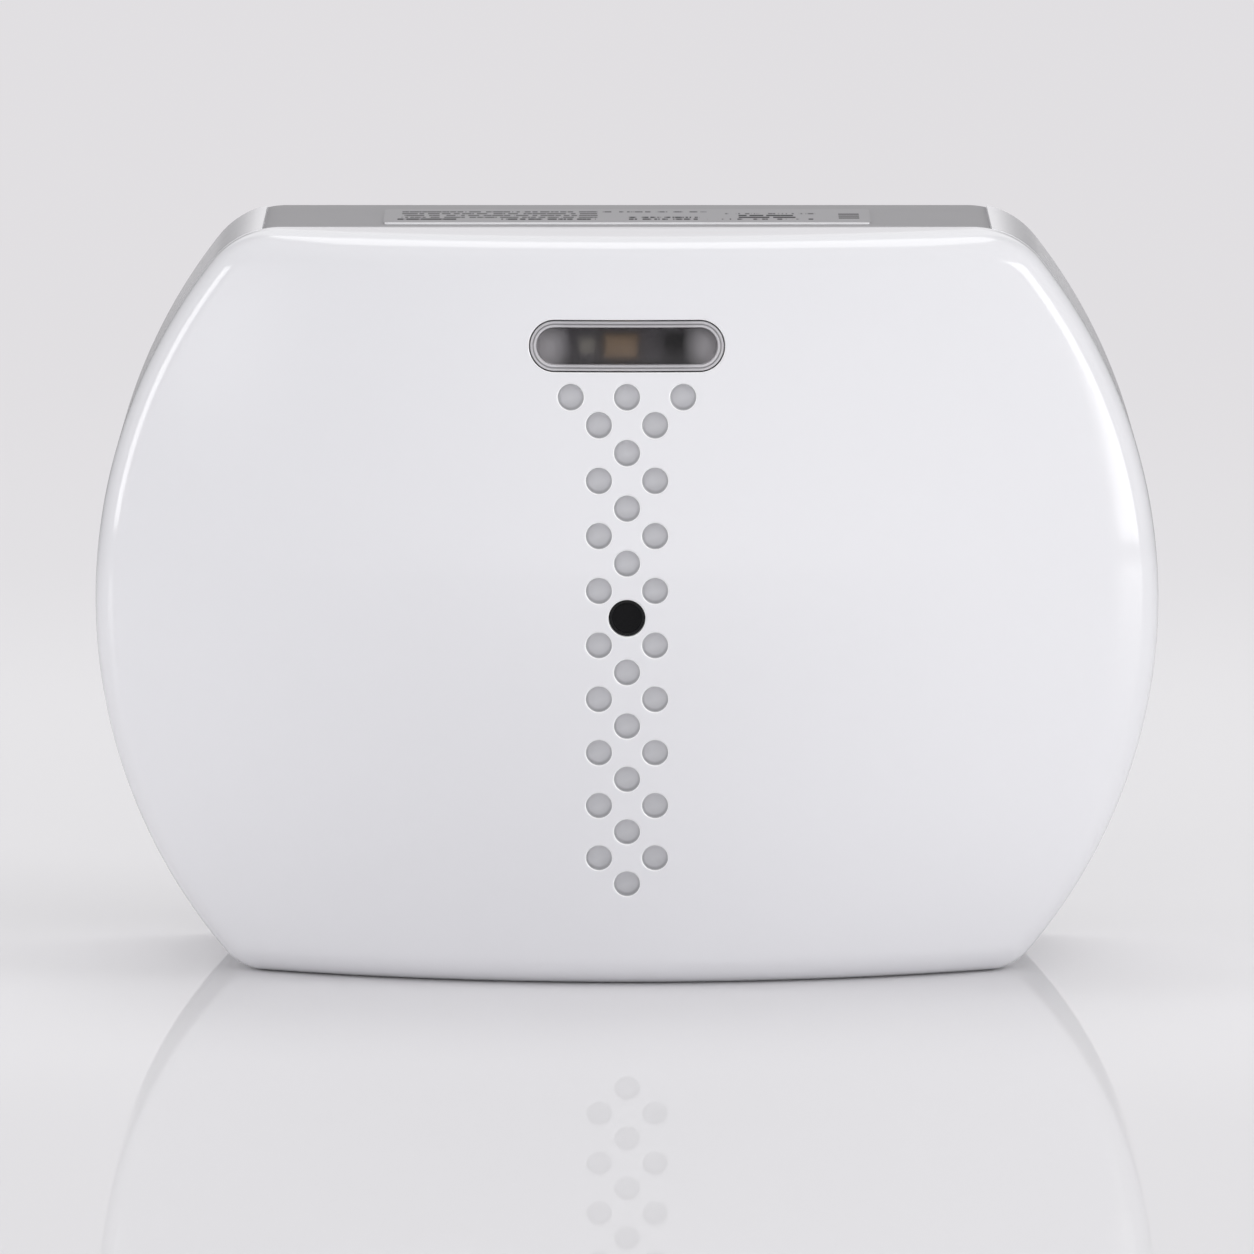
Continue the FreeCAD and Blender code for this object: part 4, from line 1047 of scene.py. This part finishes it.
def lens_profile():
    """From the middle of the field out over the grooved rim, down the side to the flange, and back
    to the middle, as distances and insets with the radius of each corner."""
    outer = HALF_WINDOW - LENS_GAP
    inner = outer - LENS_RIM
    field = LENS_SETBACK + LENS_FIELD_DEPTH
    groove = (inner + outer) / 2
    flange = HALF_WINDOW + LENS_FLANGE
    return round_corners([
        (0.0, field, 0.0),
        (inner, field, 0.05 * MM),
        (inner, LENS_SETBACK, 0.09 * MM),
        (groove - 0.07 * MM, LENS_SETBACK, 0.04 * MM),
        (groove, LENS_SETBACK + 0.06 * MM, 0.03 * MM),
        (groove + 0.07 * MM, LENS_SETBACK, 0.04 * MM),
        (outer, LENS_SETBACK, 0.12 * MM),
        (outer, LENS_SEAT, 0.1 * MM),
        (flange, LENS_SEAT, 0.15 * MM),
        (flange, LENS_BACK, 0.15 * MM),
        (0.0, LENS_BACK, 0.0),
    ])


class DETECTOR_OT_window(bpy.types.Operator):
    """Finish the window and what shows behind it"""

    bl_idname = "detector.window"
    bl_label = "Window"

    def execute(self, context):
        finish = context.scene.detector_finish
        band = stadium_band(lens_profile(), 0.0, WINDOW_Z, WINDOW_RUN)
        lens = weld(grid_mesh("indicator_lens", band, closed_u=True))
        stand_in(lens, "window_lens", smoked_lens("smoked_lens", finish))
        dress("light_box", white_reflector("white_reflector"))
        dress("status_led", plain_plastic("led_resin", (0.95, 0.92, 0.78), 0.3))
        dress("tantalum_capacitor", plain_plastic("tantalum_resin", (0.9, 0.64, 0.36), 0.4))
        dress("tone_detector", chip_resin("detector_resin", (0.005, 0.005, 0.0055)))
        return {"FINISHED"}


class DETECTOR_OT_microphone(bpy.types.Operator):
    """Finish the microphone"""

    bl_idname = "detector.microphone"
    bl_label = "Microphone"

    def execute(self, context):
        smooth_copy("rubber_boot", "microphone_boot", black_rubber("boot_rubber"))
        smooth_copy("dust_felt", "microphone_felt", black_felt("dust_felt"))
        dress("microphone_capsule", metal("capsule_can", (0.8, 0.8, 0.81), 0.25))
        return {"FINISHED"}


class DETECTOR_OT_electronics(bpy.types.Operator):
    """Finish the circuit board and what is on it"""

    bl_idname = "detector.electronics"
    bl_label = "Electronics"

    def execute(self, context):
        board = board_laminate("board_laminate", context.scene.detector_finish)
        dress("circuit_board", board)
        for node in ("main_chip", "audio_chip", "chip_resistors"):
            dress(node, chip_resin(node + "_resin"))
        for node, name, colour, roughness in (
            ("radio_shield", "tinned_lid", (0.78, 0.78, 0.77), 0.3),
            ("quartz_crystal", "crystal_can", (0.76, 0.74, 0.7), 0.2),
            ("header_pins", "gold_pins", (0.9, 0.7, 0.35), 0.22),
            ("antenna_wire", "antenna_copper", (0.8, 0.42, 0.25), 0.28),
        ):
            dress(node, metal(name, colour, roughness))
        for node, name, colour in (
            ("header_strip", "header_plastic", (0.02, 0.02, 0.022)),
            ("enroll_button", "button_plastic", (0.75, 0.75, 0.73)),
            ("tamper_plunger", "plunger_plastic", (0.6, 0.06, 0.04)),
        ):
            dress(node, plain_plastic(name, colour))
        dress("reservoir_capacitor", plain_plastic("capacitor_film", (0.05, 0.07, 0.16), 0.3))
        switch = plain_plastic("switch_plastic", (0.03, 0.03, 0.032))
        dress("enroll_switch_body", switch)
        dress("tamper_switch_body", switch)
        return {"FINISHED"}


class DETECTOR_OT_battery(bpy.types.Operator):
    """Finish the battery, its holder and contacts"""

    bl_idname = "detector.battery"
    bl_label = "Battery"

    def execute(self, context):
        dress("battery_holder", plain_plastic("holder_plastic", (0.025, 0.025, 0.027)))
        dress("battery_cell", metal("cell_can", (0.7, 0.68, 0.62), 0.3))
        contact = metal("contact_steel", (0.8, 0.78, 0.74), 0.25)
        dress("battery_plate", contact)
        dress("battery_spring", contact)
        return {"FINISHED"}


class DETECTOR_OT_fasteners(bpy.types.Operator):
    """Finish the screws"""

    bl_idname = "detector.fasteners"
    bl_label = "Fasteners"

    def execute(self, context):
        zinc = metal("zinc_steel", (0.74, 0.75, 0.76), 0.3)
        dress("board_screws", zinc)
        smooth_copy("underside_screw", "cover_screw", zinc)
        return {"FINISHED"}


class DETECTOR_OT_studio(bpy.types.Operator):
    """Set up the ground, the lamps and the camera"""

    bl_idname = "detector.studio"
    bl_label = "Studio"

    def execute(self, context):
        studio = context.scene.detector_studio
        self.make_ground(studio)
        self.make_world(context.scene)
        self.make_lamps()
        self.make_camera(context.scene, studio)
        context.scene.view_settings.view_transform = "Standard"
        return {"FINISHED"}

    def make_ground(self, studio):
        """A floor that bends up into a wall: a line, a quarter circle, a line, carried along X."""
        bend, wall_y, near_y, top, half = 0.5, 1.6, -2.4, 2.4, 3.0
        turn = np.linspace(0.0, math.pi / 2, 25)
        ys = np.concatenate([[near_y], wall_y - bend + bend * np.sin(turn), [wall_y]])
        zs = np.concatenate([[0.0], bend - bend * np.cos(turn), [top]])
        points = np.empty((2, len(ys), 3))
        points[..., 0] = np.array([-half, half])[:, None]
        points[..., 1], points[..., 2] = ys, zs
        ground = add_object("ground", grid_mesh("ground", points))
        ground.data.materials.append(self.ground_material(studio))

    def ground_material(self, studio):
        """Glossy and lit around the detector, and an even pale colour further back and in front.

        The camera sees that colour. What the case and the floor reflect of it is dark at both sides
        behind the case and bright in front of it, with a pale strip beside the case.
        """
        f = Finish("pale_ground")
        x, y, z = f.parts(f.place)
        pale, backdrop = studio.ground_colour, studio.backdrop_colour
        tone = f.blend(f.noise(0.3, 2.0), scaled(pale, 0.995), scaled(pale, 1.005))
        smudge = 0.5 + f.noise(0.05)
        lit = f.surface(tone, studio.ground_roughness * smudge, IOR=1.1)
        aside, unseen = abs(x), f.unseen()
        dark = (aside - 0.115 * y).above(0.02, 0.06)
        glow = f.blend(dark * unseen, backdrop, scaled(backdrop, 0.1))
        overhead = z.above(0.5, 0.4) * aside.below(0.7, 0.3)
        glow = f.blend(overhead, glow, (1.0, 0.99, 1.0))
        beside = aside.within(0.08, 0.17, 0.03) * z.within(0.195, 0.3, 0.03)
        glow = f.blend(beside * unseen, glow, (0.9, 0.89, 0.905))
        front = y.below(-1.3, 1.4)
        glow = f.blend(front * unseen, glow, (1.5, 1.5, 1.53))
        even = f.node("ShaderNodeEmission", {}, {"Color": glow})
        sockets = {"Value": y, "From Min": 0.08, "From Max": 0.7}
        far = f.node("ShaderNodeMapRange", {"interpolation_type": "SMOOTHSTEP"}, sockets)
        return f.done(f.mixed(far + front, lit, even))

    def make_world(self, scene):
        """Even light from all round, and soft lobes of more from the front and the left. A lobe is
        a power of the cosine to its axis. The camera sees a pale grey."""
        f = Finish("studio", world=True)
        light, seen = 0.45, 0.8
        lobes = (((0.02, -0.98, -0.08), 3.0, 1.47), ((-0.78, -0.5, 0.4), 60.0, 1.1))
        for axis, power, strength in lobes:
            sockets = {0: f.place, 1: Vector(axis).normalized()}
            cosine = f.node("ShaderNodeVectorMath", {"operation": "DOT_PRODUCT"}, sockets, "Value")
            light = light + strength * cosine.maths("MAXIMUM", cosine, 0.0) ** power
        unseen = f.unseen()
        strength = unseen * light + seen * (1 - unseen)
        sockets = {"Color": (0.985, 0.98, 1.0, 1.0), "Strength": strength}
        scene.world = f.done(f.node("ShaderNodeBackground", {}, sockets))

    def make_lamps(self):
        """Soft boxes overhead and at both sides. A lamp's power is its brightness times its area
        times pi."""
        lamps = (
            ("overhead", (0.07, 0.46, 1.2), (0.9, 0.5), 2.5),
            ("left", (-1.3, -0.08, 0.5), (0.34, 0.9), 4.5),
            ("right", (1.25, -0.35, 0.5), (0.45, 1.0), 4.8),
        )
        for name, place, size, brightness in lamps:
            lamp = bpy.data.lights.new(name, "AREA")
            lamp.shape = "RECTANGLE"
            lamp.size, lamp.size_y = size
            lamp.energy = brightness * math.pi * size[0] * size[1]
            aim(add_object(name, lamp), place, MIDDLE)

    def make_camera(self, scene, studio):
        """In front of the detector and a little above it, aimed just under its middle."""
        camera = bpy.data.cameras.new("camera")
        camera.sensor_width = 36.0
        camera.lens = studio.lens
        camera.clip_start, camera.clip_end = 0.05, 50.0
        scene.camera = add_object("camera", camera)
        away = Vector((0.0, -math.cos(studio.elevation), math.sin(studio.elevation)))
        target = MIDDLE - Vector((0.0, 0.0, studio.aim_drop))
        aim(scene.camera, MIDDLE + away * studio.distance, target)


STEPS = (
    DETECTOR_OT_shells,
    DETECTOR_OT_label,
    DETECTOR_OT_window,
    DETECTOR_OT_microphone,
    DETECTOR_OT_electronics,
    DETECTOR_OT_battery,
    DETECTOR_OT_fasteners,
    DETECTOR_OT_studio,
)


class DETECTOR_PT_panel(bpy.types.Panel):
    """Lists the pieces and their settings"""

    bl_label = "Detector"
    bl_idname = "DETECTOR_PT_panel"
    bl_space_type = "VIEW_3D"
    bl_region_type = "UI"
    bl_category = "Detector"

    def draw(self, context):
        layout = self.layout
        for group in (context.scene.detector_finish, context.scene.detector_studio):
            box = layout.box()
            for name in group.__annotations__:
                box.prop(group, name)
        for step in STEPS:
            layout.operator(step.bl_idname)


CLASSES = (DetectorFinish, DetectorStudio, *STEPS, DETECTOR_PT_panel)


def register():
    for item in CLASSES:
        bpy.utils.register_class(item)
    bpy.types.Scene.detector_finish = bpy.props.PointerProperty(type=DetectorFinish)
    bpy.types.Scene.detector_studio = bpy.props.PointerProperty(type=DetectorStudio)


def unregister():
    del bpy.types.Scene.detector_studio
    del bpy.types.Scene.detector_finish
    for item in reversed(CLASSES):
        bpy.utils.unregister_class(item)


def main():
    register()
    for step in STEPS:
        group, name = step.bl_idname.split(".")
        getattr(getattr(bpy.ops, group), name)()


if __name__ == "__main__":
    main()
